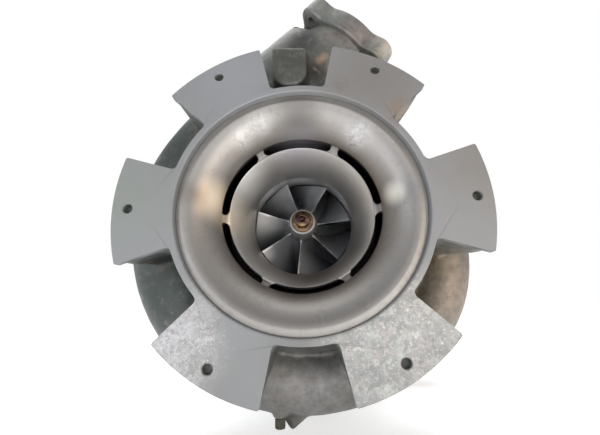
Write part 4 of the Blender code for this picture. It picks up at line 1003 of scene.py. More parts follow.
def slot_rib(middle):
    """A rib across the slot: broad at the shroud ring, narrower at the bell-mouth, hollow-sided.

    Half width = waist + spread × (1 - v)², with v from the ring out to the bell-mouth, plus a
    smaller spread at the bell-mouth. A section is a square with rounded corners.
    """
    v = np.linspace(-0.15, 1.15, 18)
    inner = np.array([SLOT_INNER[0], SLOT_INNER[1] + 0.0012])
    outer = np.array([SLOT_OUTER[0] + 0.001, SLOT_OUTER[1] + 0.0040])
    front = inner + (outer - inner) * v[:, None]
    front[:, 1] += 0.003 * np.sin(np.pi * np.clip(v, 0, 1))
    near_ring = 1 - np.clip(v, 0, 1)
    half = 0.0070 + 0.0120 * near_ring ** 2.6 + 0.0030 * np.clip(v, 0, 1) ** 5
    around = np.linspace(0, 2 * np.pi, 40, endpoint=False)
    wide = np.sign(np.cos(around)) * np.abs(np.cos(around)) ** 0.28
    deep = 0.5 + 0.5 * np.sign(np.sin(around)) * np.abs(np.sin(around)) ** 0.10
    radius = front[:, :1] + 0 * around
    depth = front[:, 1:] + 0.055 * deep
    aside = half[:, None] * wide
    x = radius * np.cos(middle) - aside * np.sin(middle)
    z = radius * np.sin(middle) + aside * np.cos(middle)
    return swept(np.stack([x, depth, z], -1))


class TURBOCHARGER_OT_shroud_ring(Operator):
    """Inner ring with rounded nose, throat and wheel contour, and the six ribs of the slot."""

    bl_idname = "turbocharger.shroud_ring"
    bl_label = "Shroud ring"

    def execute(self, context):
        nose = inward_curve(SLOT_INNER, THROAT, np.radians([54, 90]), 24)
        contour = clear_of(wheel_tip, RUNNING_GAP, 24)
        end = far("shroud_ring")
        front = np.concatenate([nose[1:], contour[1:]])
        back = [(INSERT_R, end, 0), (INSERT_R, CHANNEL_DEPTH + 0.0003, 0),
                (CHANNEL_INNER_R, CHANNEL_DEPTH + 0.0003, 0),
                (CHANNEL_INNER_R, SLOT_INNER[1] + 0.016, 0.012),
                (SLOT_INNER[0] + 0.0016, SLOT_INNER[1] + 0.0022, 0.0012),
                (SLOT_INNER[0] + 0.0002, SLOT_INNER[1] - 0.0002, 0.0006)]
        profile = rounded([(r, d, 0) for r, d in front] + back, 5)
        parts = [turned(profile, 256)]
        parts += [slot_rib(np.radians(2) + i * np.pi / 3) for i in range(6)]
        piece("turned_shroud_ring", parts, finish_named("turned_bellmouth"), "housing",
              ("shroud_ring",))
        return {"FINISHED"}


# Compressor casing


def scroll_sections(start, end, outer, small, large, depth, count, around=48):
    """Oval sections round the shaft whose half-size grows evenly from small to large."""
    share = np.linspace(0, 1, count)
    angle = start + (end - start) * share
    half = small + (large - small) * share
    out = outer - (1 - smooth_step(share * 3.2)) * (large - small) * 0.85
    middle = out - half
    turn = np.linspace(0, 2 * np.pi, around, endpoint=False)
    radius = middle[:, None] + half[:, None] * np.cos(turn)
    deep = depth + np.minimum(half * 1.05, large)[:, None] * np.sin(turn)
    return np.stack([radius * np.cos(angle)[:, None], deep, radius * np.sin(angle)[:, None]], -1)


def gas_neck(share):
    """Half sizes and sideways shift of the turbine's neck, which stays round and straight."""
    small = GAS_LARGE - 0.003
    half = small + (GAS_NOZZLE_R - small) * smooth_step(share)
    return half, half, 0 * share


def discharge_neck(share):
    """Half sizes and shift of the discharge neck, which swells outward and ends in a shoulder."""
    swell = NECK_SWELL * smooth_step((share - 0.30) / 0.40) * (1 - smooth_step((share - 0.92) / 0.08))
    in_plane = SCROLL_LARGE + (NOZZLE_R - SCROLL_LARGE) * smooth_step(share) + swell
    grown = smooth_step((share - 0.55) / 0.35)
    return in_plane, SCROLL_LARGE + (NOZZLE_HALF_DEPTH - SCROLL_LARGE) * grown, swell


def neck_sections(start, start_angle, side, mouth, mouth_angle, size_at, depth, count, around=48):
    """Oval sections along a cubic curve from the scroll's end to the nozzle's mouth."""
    start, mouth = np.array(start), np.array(mouth)
    leave = start_angle + side * np.pi / 2
    handle = np.linalg.norm(mouth - start) * 0.38
    knots = np.stack([start, start + handle * np.array([np.cos(leave), np.sin(leave)]),
                      mouth - handle * np.array([np.cos(mouth_angle), np.sin(mouth_angle)]), mouth])
    t = np.linspace(0, 1, count)[:, None]
    weights = np.hstack([(1 - t) ** 3, 3 * t * (1 - t) ** 2, 3 * t * t * (1 - t), t ** 3])
    slopes = np.hstack([-3 * (1 - t) ** 2, 3 * (1 - t) * (1 - 3 * t), 3 * t * (2 - 3 * t), 3 * t * t])
    centre, run = weights @ knots, slopes @ knots
    run /= np.linalg.norm(run, axis=1, keepdims=True)
    out = np.stack([run[:, 1], -run[:, 0]], -1) * side
    in_plane, axial, shift = size_at(t)
    turn = np.linspace(0, 2 * np.pi, around, endpoint=False)
    swing = in_plane * np.cos(turn) + shift
    return np.stack([centre[:, :1] + out[:, :1] * swing, depth + axial * np.sin(turn),
                     centre[:, 1:] + out[:, 1:] * swing], -1)


def block(outline_at, depths):
    """Outlines of (x, z) points, one for each depth, joined into a closed body."""
    sections = [np.stack([outline[:, 0], np.full(len(outline), depth), outline[:, 1]], -1)
                for outline, depth in zip(outline_at, depths)]
    return swept(np.stack(sections))


def leg(middle):
    """A leg from its pad down to the scroll: set in from the pad, round-cornered, leaning inward.

    Its outline is drawn flat, with arc length for width, and then bent round the shaft.
    """
    depths = np.linspace(-0.03, 0.185, 14)
    lean = smooth_step((depths - 0.02) / 0.16)
    mean = 0.31
    outlines = []
    for sway in lean:
        outer = PAD_OUTER_R - 0.003 - 0.040 * sway
        side = (PAD_HALF_ANGLE * mean - 0.0008) * (1 - 0.05 * sway)
        flat = rounded([(0.215, -side - 0.016, 0), (0.246, -side, 0.020), (outer, -side, 0.014),
                        (outer, side, 0.014), (0.246, side, 0.020), (0.215, side + 0.016, 0)], 7)
        turn = flat[:, 1] / mean + middle
        outlines.append(np.stack([flat[:, 0] * np.cos(turn), flat[:, 0] * np.sin(turn)], -1))
    return block(outlines, depths)


def nozzle_frame():
    """Centre of the discharge nozzle's mouth and the directions along and across it."""
    along = np.array([np.cos(NOZZLE_ANGLE), 0, np.sin(NOZZLE_ANGLE)])
    aside = np.array([-np.sin(NOZZLE_ANGLE), 0, np.cos(NOZZLE_ANGLE)])
    return along * NOZZLE_REACH + aside * NOZZLE_OFFSET + SHAFT_WAY * SCROLL_DEPTH, along, aside


def ear_place(index):
    """Centre of one ear in the plane of the discharge nozzle's mouth."""
    mouth, _, aside = nozzle_frame()
    turn = np.pi / 4 + index * np.pi / 2
    return mouth + EAR_CIRCLE_R * (aside * np.cos(turn) + SHAFT_WAY * np.sin(turn))


def casting_bodies():
    """Overlapping bodies of the compressor casting: core, scroll, neck, legs, boss and lugs."""
    core = [(0, 0.004), (RING_OUTER_R - 0.0003, 0.004), (RING_OUTER_R - 0.0003, 0.080),
            (CORE_R, 0.152), (CORE_R, CORE_BACK), (0, CORE_BACK)]
    scroll = scroll_sections(SCROLL_START, SCROLL_END, SCROLL_OUTER_R, SCROLL_SMALL, SCROLL_LARGE,
                             SCROLL_DEPTH, 120)
    end = (SCROLL_OUTER_R - SCROLL_LARGE) * np.array([np.cos(SCROLL_END), np.sin(SCROLL_END)])
    mouth, along, _ = nozzle_frame()
    neck = neck_sections(end, SCROLL_END, -1, mouth[[0, 2]], NOZZLE_ANGLE, discharge_neck,
                         SCROLL_DEPTH, 60)
    tube = np.concatenate([scroll, neck[1:], neck[-1:] + along * 0.03])
    lug = rounded([(-0.056, -0.330, 0), (-0.0505, -0.362, 0.003), (-0.0325, -0.3885, 0.003),
                   (-0.002, -0.3655, 0.003), (0.004, -0.330, 0)], 4)
    boss = rounded([(-0.053, 0.273, 0.034), (0.021, 0.273, 0.034), (0.021, 0.366, 0.004),
                    (-0.052, 0.370, 0.004)], 8)
    bodies = [turned(core, 160, closed=False), swept(tube), slab(lug, 0.161, 0.200),
              slab(boss, 0.056, 0.150),
              lathe([(0, 0), (0.013, 0), (0.013, 0.040), (0, 0.040)], (-0.0526, 0.149, -0.323),
                    (0, 0, -1), 32, False)]
    return bodies + [leg(i * np.pi / 3) for i in range(6)]


class TURBOCHARGER_OT_compressor_casting(Operator):
    """Compressor scroll with its legs and neck, cast in one, then bored and faced."""

    bl_idname = "turbocharger.compressor_casting"
    bl_label = "Compressor casting"

    def execute(self, context):
        casting = piece("cast_compressor_scroll", casting_bodies(), finish_named("cast_casing"),
                        "housing", ("compressor_scroll",))
        fused(casting, 0.0040, 7)
        rippled(casting, 0.00022)
        mouth, along, _ = nozzle_frame()
        shell = RING_INNER_R + 0.0044
        bore = rounded([(0, -0.05, 0), (shell, -0.05, 0), (shell, FRONT_WALL_DEPTH, 0),
                        (INSERT_R + 0.0003, FRONT_WALL_DEPTH, 0), (INSERT_R + 0.0003, 0.30, 0),
                        (0, 0.30, 0)], 1)
        cut(casting, [turned(bore, 160, closed=False)])
        front = np.array([(-0.5, -0.5), (0.5, -0.5), (0.5, 0.5), (-0.5, 0.5)])
        cut(casting, [slab(front, -0.2, PAD_THICKNESS - 0.0006)])
        back = [(0, CORE_BACK), (CORE_R + 0.0006, CORE_BACK), (CORE_R + 0.0006, 0.4), (0, 0.4)]
        cut(casting, [turned(back, 128, closed=False)])
        face = [(0, 0), (0.18, 0), (0.18, 0.2), (0, 0.2)]
        cut(casting, [lathe(face, mouth, along, 32, False)])
        inner = [(0, -0.01), (NOZZLE_BORE_R, -0.01), (NOZZLE_BORE_R, NOZZLE_BORE_DEPTH - 0.03),
                 (NOZZLE_BORE_R * 0.85, NOZZLE_BORE_DEPTH - 0.008), (0, NOZZLE_BORE_DEPTH)]
        cut(casting, [lathe(inner, mouth, -along, 96, False)])
        pocket = [(0, -EAR_POCKET_DEPTH), (EAR_POCKET_R - 0.004, -EAR_POCKET_DEPTH),
                  (EAR_POCKET_R, -EAR_POCKET_DEPTH + 0.004), (EAR_POCKET_R, 0.01), (0, 0.01)]
        for index in range(4):
            cut(casting, [lathe(pocket, ear_place(index), along, 40, False)])
        casting.data.materials.clear()
        casting.data.materials.append(finish_named("cast_casing"))
        shade(casting, 40)
        return {"FINISHED"}


def eared_outline(count):
    """Polar outline of the discharge flange: a circle that swells round its four bolt ears."""
    turn = np.linspace(0, 2 * np.pi, count, endpoint=False)
    off = turn % (np.pi / 2) - np.pi / 4
    side = EAR_CIRCLE_R * np.sin(off)
    ear = EAR_CIRCLE_R * np.cos(off) + np.sqrt(np.clip(EAR_R ** 2 - side ** 2, 0, None))
    radius = np.where(np.abs(side) < EAR_R, np.maximum(ear, FLANGE_R), FLANGE_R)
    for _ in range(6):
        radius = np.maximum(radius, 0.25 * np.roll(radius, 2) + 0.5 * radius
                            + 0.25 * np.roll(radius, -2))
    return radius[:, None] * np.stack([np.cos(turn), np.sin(turn)], -1)


def flange_body(outline, origin, along, first, second, thickness, edge):
    """An outline carried along its axis with rounded rims: it draws in by the edge at both ends."""
    turn = np.linspace(0, np.pi / 2, 5)
    rise = np.concatenate([edge * (1 - np.cos(turn)), thickness - edge * (1 - np.cos(turn[::-1]))])
    draw = np.concatenate([edge * (1 - np.sin(turn)), edge * (1 - np.sin(turn[::-1]))])
    size = np.linalg.norm(outline, axis=1)
    scale = 1 - draw[:, None] / size
    flat = outline[None] * scale[..., None]
    points = (origin + rise[:, None, None] * along + flat[..., :1] * first + flat[..., 1:] * second)
    return swept(points)


class TURBOCHARGER_OT_discharge_flange(Operator):
    """Flange with four ears on the discharge nozzle, bored and drilled, and its drain plug."""

    bl_idname = "turbocharger.discharge_flange"
    bl_label = "Discharge flange"

    def execute(self, context):
        mouth, along, aside = nozzle_frame()
        outline = eared_outline(240)
        start = mouth + along * 0.0003
        flange = piece("cast_discharge_flange",
                       [flange_body(outline, start, along, aside, SHAFT_WAY, FLANGE_THICKNESS,
                                    0.005)],
                       finish_named("cast_casing"), "housing",
                       ("discharge_flange",))
        bore = [(0, -0.01), (NOZZLE_BORE_R, -0.01), (NOZZLE_BORE_R, FLANGE_THICKNESS - 0.002),
                (NOZZLE_BORE_R + 0.004, FLANGE_THICKNESS + 0.002),
                (NOZZLE_BORE_R + 0.004, FLANGE_THICKNESS + 0.02), (0, FLANGE_THICKNESS + 0.02)]
        cut(flange, [lathe(bore, start, along, 96, False)])
        for index in range(4):
            hole = [(0, -0.02), (0.017, -0.02), (0.017, 0.0015), (EAR_HOLE_R, 0.0015),
                    (EAR_HOLE_R, FLANGE_THICKNESS + 0.02), (0, FLANGE_THICKNESS + 0.02)]
            cut(flange, [lathe(hole, ear_place(index), along, 32, False)])
        shade(flange, 40)
        head = [(0, 0.001), (0.0105, 0.001), (0.0105, -0.0130), (0.0088, -0.0150), (0, -0.0150)]
        piece("hexagon_drain_plug", [lathe(head, (-0.0526, 0.149, -0.3634), (0, 0, 1), 72, False, 6)],
              finish_named("plated_fitting"), "housing", ("drain_plug",))
        return {"FINISHED"}


# Rotor


def blade_sheet(first_share, angle, root_line, tip_line, wrap, edge, root, steps=40, rows=16):
    """A closed twisted blade.

    Along the blade, share runs from its first edge to its last; across it, rise runs from inside
    the hub to the tip. The middle surface turns about the shaft by wrap(share). Half thickness is
    root × (1 - rise) + edge × rise, thinned at both ends by a quarter circle, and swells near the
    hub as a fillet.
    """
    share = np.linspace(0, 1, steps)
    grown = first_share + (1 - first_share) * share
    rise = np.concatenate([[-0.06], np.linspace(0, 1, rows) ** 1.3])
    hub, tip = root_line(grown), tip_line(grown)
    line = hub[:, None] + (tip - hub)[:, None] * rise[None, :, None]
    span = np.linalg.norm(tip - hub, axis=1)[:, None]
    ends = np.sqrt(np.clip(1 - (1 - np.clip(np.minimum(share, 1 - share) / 0.04, 0, 1)) ** 2, 0, 1))
    ends = 0.35 + 0.65 * ends
    up = np.clip(rise, 0, 1)
    half = (root * (1 - up) + edge * up)[None] * ends[:, None] / 2
    half = half + 0.0022 * np.exp(-span * np.clip(rise, 0, 1) / 0.0028)
    turn = angle + wrap(grown)[:, None]
    around = []
    for way in (-1, 1):
        lean = turn + way * half / np.maximum(line[..., 0], 1e-3)
        around.append(np.stack([line[..., 0] * np.cos(lean), line[..., 1],
                                line[..., 0] * np.sin(lean)], -1))
    loop = np.concatenate([around[0], around[1][:, ::-1]], 1)
    return swept(loop)


def compressor_wrap(share):
    """How far a compressor blade has turned back at a share of its length."""
    return BLADE_WRAP * (1 - (1 - share) ** 1.8)


class TURBOCHARGER_OT_impeller(Operator):
    """Compressor wheel: hub, seven full blades and seven splitters."""

    bl_idname = "turbocharger.impeller"
    bl_label = "Compressor wheel"

    def execute(self, context):
        looks = context.scene.turbocharger_looks
        hub = wheel_hub(np.linspace(0, 1, 40))
        nose = [(0, NOSE_DEPTH, 0), (NOSE_R, NOSE_DEPTH, 0.0016), (NOSE_R + 0.0035, NOSE_DEPTH + 0.012, 0.01)]
        rim = [(WHEEL_EXIT_R, WHEEL_BACK, 0.001), (0, WHEEL_BACK, 0)]
        profile = rounded(nose + [(r, d, 0) for r, d in hub] + rim, 5)
        profile[:, 0] = np.maximum(profile[:, 0], 0)
        parts = [turned(profile, 224, closed=False)]
        for index in range(BLADES):
            angle = BLADE_FIRST + index * 2 * np.pi / BLADES
            parts.append(blade_sheet(0.0, angle, wheel_hub, wheel_tip, compressor_wrap,
                                     looks.blade_edge, 0.0030))
            parts.append(blade_sheet(0.35, angle + np.pi / BLADES, wheel_hub, wheel_tip,
                                     compressor_wrap, looks.blade_edge, 0.0028, 28))
        piece("milled_impeller", parts, finish_named("milled_wheel"), "rotor",
              ("impeller",), 40)
        return {"FINISHED"}


class TURBOCHARGER_OT_shaft_nut(Operator):
    """Flanged hexagon nut with chamfered corners and a centre hole."""

    bl_idname = "turbocharger.shaft_nut"
    bl_label = "Shaft nut"

    def execute(self, context):
        front, back = near("shaft_nut"), far("shaft_nut")
        flange = back - 0.006
        head = [(0, flange), (0.0170, flange), (0.0170, front + 0.003), (0.0146, front + 0.0004),
                (0.0138, front), (0.0064, front), (0.0056, front + 0.0012), (0.0056, front + 0.012),
                (0, front + 0.014)]
        collar = rounded([(0, flange, 0), (0.0222, flange + 0.0006, 0.0012), (0.0222, back, 0),
                          (0, back, 0)], 5)
        parts = [lathe(head, (0, 0, 0), SHAFT_WAY, 144, False, 6), turned(collar, 96, False)]
        piece("flanged_shaft_nut", parts, finish_named("bronzed_nut"), "rotor",
              ("shaft_nut",), 30)
        return {"FINISHED"}


def turbine_tip(share):
    """Tip line of a turbine blade, from the inlet edge in to the exducer."""
    turn = np.pi / 2 * share
    front = TURBINE_WHEEL_FRONT + 0.024
    return np.stack([TURBINE_TIP_R - (TURBINE_TIP_R - EXDUCER_R) * np.sin(turn),
                     front + (EXDUCER_DEPTH - front) * (1 - np.cos(turn)) ** 1.1], -1)


def turbine_hub(share):
    """Hub line of the turbine wheel, from the inlet edge in to the exducer."""
    turn = np.pi / 2 * share
    front = TURBINE_WHEEL_FRONT + 0.006
    return np.stack([TURBINE_TIP_R - (TURBINE_TIP_R - EXDUCER_HUB_R) * np.sin(turn),
                     front + (EXDUCER_DEPTH - front) * (1 - np.cos(turn))], -1)


def turbine_wrap(share):
    """How far a turbine blade has turned at a share of its length."""
    return np.radians(34) * share ** 2.2


class TURBOCHARGER_OT_turbine_rotor(Operator):
    """Turbine wheel with eleven blades, and the shaft that joins the wheels."""

    bl_idname = "turbocharger.turbine_rotor"
    bl_label = "Turbine wheel and shaft"

    def execute(self, context):
        front = TURBINE_WHEEL_FRONT
        hub = turbine_hub(np.linspace(0, 1, 32))
        back = far("turbine_wheel")
        profile = rounded([(0, front, 0), (TURBINE_TIP_R, front, 0.001)]
                          + [(r, d, 0) for r, d in hub[1:]]
                          + [(EXDUCER_HUB_R, EXDUCER_DEPTH + 0.004, 0.002),
                             (0.020, back, 0.003), (0, back, 0)], 5)
        parts = [turned(np.maximum(profile, [0, -1]), 192, closed=False)]
        parts += [blade_sheet(0.02, i * 2 * np.pi / 11, turbine_hub, turbine_tip, turbine_wrap,
                              0.0026, 0.0055, 28) for i in range(11)]
        scaled = "scaled_turbine_steel"
        FINISHES.setdefault(scaled, forged_steel(scaled, "#7a6c5f", "#4a3b31"))
        piece("cast_turbine_wheel", parts, FINISHES[scaled], "rotor",
              ("turbine_wheel",), 40)
        lowest, highest = near("shaft"), far("shaft")
        collar, journal = reach("shaft"), 0.020
        bar = rounded([(0, lowest, 0), (collar, lowest, 0.0008), (collar, 0.318, 0.001),
                       (journal, 0.322, 0.002), (journal, 0.500, 0.002), (collar, 0.504, 0.001),
                       (collar, highest, 0.0008), (0, highest, 0)], 5)
        piece("ground_shaft", [turned(bar, 96, closed=False)], finish_named("forged_steel"),
              "rotor", ("shaft",))
        return {"FINISHED"}


# Bearing housing


def hexagon_bolts(places, ways, size):
    """Bolts with chamfered hexagon heads on washers: head 0.65 size high, corners 0.9 size out."""
    corner, height, washer = 0.92 * size, 0.65 * size, 1.15 * size
    head = [(0, 0.12 * size), (corner, 0.12 * size), (corner, height), (0.86 * corner, 0.80 * size),
            (0, 0.80 * size)]
    ring = [(0, -0.05 * size), (washer, -0.05 * size), (washer, 0.13 * size), (0, 0.13 * size)]
    parts = []
    for place, way in zip(places, ways):
        parts.append(lathe(head, place, way, 48, False, 6))
        parts.append(lathe(ring, place, way, 28, False))
    return parts


def circle_places(radius, depth, count, first=0.0):
    """Points evenly spaced on a circle round the shaft."""
    turn = first + np.arange(count) * 2 * np.pi / count
    return np.stack([radius * np.cos(turn), np.full(count, depth), radius * np.sin(turn)], -1)


class TURBOCHARGER_OT_bearing_housing(Operator):
    """Bearing housing with a plain barrel between its flanges, back plate and the two bolted clamp rings."""

    bl_idname = "turbocharger.bearing_housing"
    bl_label = "Bearing housing"

    def execute(self, context):
        front, back, flange = HOUSING_FRONT, HOUSING_END, 0.021
        bore = BUSH_R + 0.0003
        profile = rounded([(bore, front, 0.001), (PLATE_R, front, 0.001),
                           (PLATE_R, front + flange, 0.003), (BARREL_R, front + flange, 0.012),
                           (BARREL_R, back - flange, 0.012), (REAR_FLANGE_R, back - flange, 0.003),
                           (REAR_FLANGE_R, back, 0.001), (bore, back, 0.001)], 6)
        piece("painted_bearing_housing", [turned(profile, 192)], finish_named("grey_housing"),
              "housing", ("bearing_housing",))
        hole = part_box("compressor_back_plate")
        disc = rounded([(0.030, hole[0].y - PAD_PLANE, 0.001), (PLATE_R, hole[0].y - PAD_PLANE, 0.001),
                        (PLATE_R, PLATE_END, 0.001), (0.030, PLATE_END, 0.001)], 4)
        piece("turned_back_plate", [turned(disc, 160)], finish_named("grey_housing"), "housing",
              ("compressor_back_plate",))
        for node, inner in (("compressor_clamp_ring", PLATE_R + 0.0003),
                            ("turbine_clamp_ring", REAR_FLANGE_R + 0.0003)):
            outer, start, end = reach(node), near(node), far(node)
            ring = rounded([(inner, start, 0.0006), (outer, start, 0.002), (outer, end, 0.003),
                            (inner, end, 0.002)], 5)
            parts = [turned(ring, 192)]
            way = 1.0 if node.startswith("compressor") else -1.0
            face = end if way > 0 else start
            places = circle_places((inner + outer) / 2, face, 24, np.radians(7.5))
            parts += hexagon_bolts(places, [SHAFT_WAY * way] * 24, 0.0095)
            piece(f"bolted_{node}", parts, finish_named("forged_steel"), "housing",
                  (node,))
        return {"FINISHED"}


class TURBOCHARGER_OT_oil_fittings(Operator):
    """Oil inlet and drain flanges with their bolts, and the finishes of the hidden bearings."""

    bl_idname = "turbocharger.oil_fittings"
    bl_label = "Oil fittings"

    def execute(self, context):
        middle = 0.5 * (PLATE_END + HOUSING_END)
        height = np.sqrt(BARREL_R ** 2 - 0.03 ** 2)
        aside = np.radians(-28)
        fittings = (("oil_inlet_flange", np.array([0, 0, 1.0]), 0.034),
                    ("oil_drain_flange", np.array([np.cos(aside), 0, np.sin(aside)]), 0.045))
        for node, way, size in fittings:
            start = SHAFT_WAY * middle + way * (height - 0.006)
            stub = rounded([(0, -0.004, 0), (size * 0.72, -0.004, 0), (size * 0.72, 0.030, 0.004),
                            (size, 0.030, 0.002), (size, 0.045, 0.002), (size * 0.42, 0.045, 0.001),
                            (size * 0.42, 0.022, 0), (0, 0.022, 0)], 5)
            parts = [lathe(np.maximum(stub, [0, -1]), start, way, 96, False)]
            _, first, second = across(way)
            turn = np.arange(4) * np.pi / 2 + np.pi / 4
            places = [start + way * 0.045 + size * 0.78 * (first * np.cos(t) + second * np.sin(t))
                      for t in turn]
            parts += hexagon_bolts(places, [way] * 4, 0.0058)
            piece(f"plated_{node}", parts, finish_named("plated_fitting"), "housing",
                  (node,))
        for node, slot in (("front_journal_bearing", "bearing_bronze"),
                           ("rear_journal_bearing", "bearing_bronze"),
                           ("heat_shield", "forged_steel")):
            solid = frame["nodes"][node]
            solid.data.materials.clear()
            solid.data.materials.append(finish_named(slot))
        return {"FINISHED"}


class TURBOCHARGER_OT_foot(Operator):
    """Foot: base plate with four bolt holes, and web with its saddle."""

    bl_idname = "turbocharger.foot"
    bl_label = "Foot"

    def execute(self, context):
        low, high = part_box("foot")
        floor, plate = -AXIS_HEIGHT, 0.028
        half, front, back = high.x, low.y - PAD_PLANE, high.y - PAD_PLANE
        middle = 0.5 * (PLATE_END + HOUSING_END)
        outline = rounded([(-half, front, 0.012), (half, front, 0.012), (half, back, 0.012),
                           (-half, back, 0.012)], 6)
        edge = np.array([0.0, 0.0025, plate - 0.0025, plate])
        draw = np.array([0.0, 0.0, 0.0, 0.0025])
        centre = np.array([0, (front + back) / 2])
        base = np.stack([np.concatenate([centre + (outline - centre)
                                         * (1 - d / np.abs(outline - centre).max(0)),
                                         ], 0) for d in draw])
        sections = np.stack([base[..., 0], base[..., 1],
                             np.broadcast_to((floor + edge)[:, None], base.shape[:2])], -1)
        wide = np.array([0.105, 0.1025, 0.096, 0.090])
        rise = np.array([floor + plate - 0.006, floor + plate + 0.045, -0.20, -0.080])
        long = np.array([0.050, 0.050, 0.049, 0.048])
        ring = rounded([(-1, -1, 0.12), (1, -1, 0.12), (1, 1, 0.12), (-1, 1, 0.12)], 6)
        web = np.stack([ring[None, :, 0] * wide[:, None], middle + ring[None, :, 1] * long[:, None],
                        np.broadcast_to(rise[:, None], (4, len(ring)))], -1)
        foot = piece("painted_foot", [swept(sections), swept(web)], finish_named("grey_housing"),
                     "housing", ("foot",))
        saddle = [(0, PLATE_END - 0.02), (BARREL_R + 0.0003, PLATE_END - 0.02),
                  (BARREL_R + 0.0003, HOUSING_END + 0.02), (0, HOUSING_END + 0.02)]
        holes = [lathe([(0, -0.01), (0.009, -0.01), (0.009, 0.06), (0, 0.06)],
                       (x, y, floor), (0, 0, 1), 32, False)
                 for x in (0.026 - half, half - 0.026) for y in (front + 0.026, back - 0.026)]
        cut(foot, [turned(saddle, 160, closed=False)] + holes, overlapping=True)
        if max(corner[2] for corner in foot.bound_box) < -0.2:
            raise RuntimeError("the foot lost its web")
        shade(foot, 35)
        return {"FINISHED"}


# Turbine end


class TURBOCHARGER_OT_turbine_casing(Operator):
    """Turbine scroll with its gas nozzle, cast in one, then bored and faced, and its flange."""

    bl_idname = "turbocharger.turbine_casing"
    bl_label = "Turbine casing"

    def execute(self, context):
        scroll = scroll_sections(np.radians(-40), np.radians(270), TURBINE_SCROLL_R, GAS_SMALL,
                                 GAS_LARGE, TURBINE_DEPTH, 120)
        start_angle = np.radians(258)
        start = (TURBINE_SCROLL_R - GAS_LARGE) * np.array([np.cos(start_angle), np.sin(start_angle)])
        neck = neck_sections(start, start_angle, 1, (GAS_REACH, -GAS_OFFSET), 0.0, gas_neck,
                             TURBINE_DEPTH, 40)
        neck = np.concatenate([neck, neck[-1:] + np.array([0.03, 0, 0])])
        core = [(0, TURBINE_FRONT - 0.03), (TURBINE_CORE_R, TURBINE_FRONT - 0.03),
                (TURBINE_CORE_R, TURBINE_BACK), (0, TURBINE_BACK)]
        bodies = [turned(core, 160, closed=False), swept(scroll), swept(neck)]
        casing = piece("cast_turbine_casing", bodies, finish_named("hot_casting"), "housing",
                       ("turbine_casing",))
        fused(casing, 0.0045, 8)
        rippled(casing, 0.00030)
        wide = np.array([(-0.6, -0.6), (0.6, -0.6), (0.6, 0.6), (-0.6, 0.6)])
        cut(casing, [slab(wide, TURBINE_FRONT - 0.2, TURBINE_FRONT)])
        contour = clear_of(turbine_tip, RUNNING_GAP, 16)[::-1]
        inner = [(0, TURBINE_BACK + 0.02), (OUTLET_THROAT_R, TURBINE_BACK + 0.02),
                 (OUTLET_THROAT_R, EXDUCER_DEPTH + 0.004)]
        inner += [(max(r, 0.0), d) for r, d in contour[1:]]
        inner += [(0.150, contour[-1][1]), (0.150, TURBINE_FRONT - 0.02), (0, TURBINE_FRONT - 0.02)]
        cut(casing, [turned(inner, 128, closed=False)])
        mouth = np.array([GAS_REACH, TURBINE_DEPTH, -GAS_OFFSET])
        cut(casing, [lathe([(0, 0), (0.2, 0), (0.2, 0.2), (0, 0.2)], mouth, (1, 0, 0), 32, False)])
        bore = [(0, -0.01), (GAS_BORE_R, -0.01), (GAS_BORE_R, 0.17), (GAS_BORE_R * 0.8, 0.195),
                (0, 0.200)]
        cut(casing, [lathe(bore, mouth, (-1, 0, 0), 96, False)])
        casing.data.materials.clear()
        casing.data.materials.append(finish_named("hot_casting"))
        shade(casing, 40)
        outer, thick = GAS_NOZZLE_R + 0.034, 0.024
        ring = rounded([(GAS_BORE_R, 0.0003, 0.001), (outer, 0.0003, 0.003), (outer, thick, 0.003),
                        (GAS_BORE_R + 0.022, thick, 0.0005), (GAS_BORE_R + 0.022, thick - 0.001, 0),
                        (GAS_BORE_R, thick - 0.001, 0.001)], 5)
        flange = piece("cast_gas_inlet_flange", [lathe(ring, mouth, (1, 0, 0), 160)],
                       finish_named("hot_casting"), "housing",
                       ("gas_inlet_flange",))
        for turn in np.arange(8) * np.pi / 4 + np.pi / 8:
            place = mouth + 0.114 * np.array([0, np.cos(turn), np.sin(turn)])
            cut(flange, [lathe([(0, -0.01), (0.009, -0.01), (0.009, 0.05), (0, 0.05)], place,
                               (1, 0, 0), 24, False)])
        shade(flange, 35)
        return {"FINISHED"}


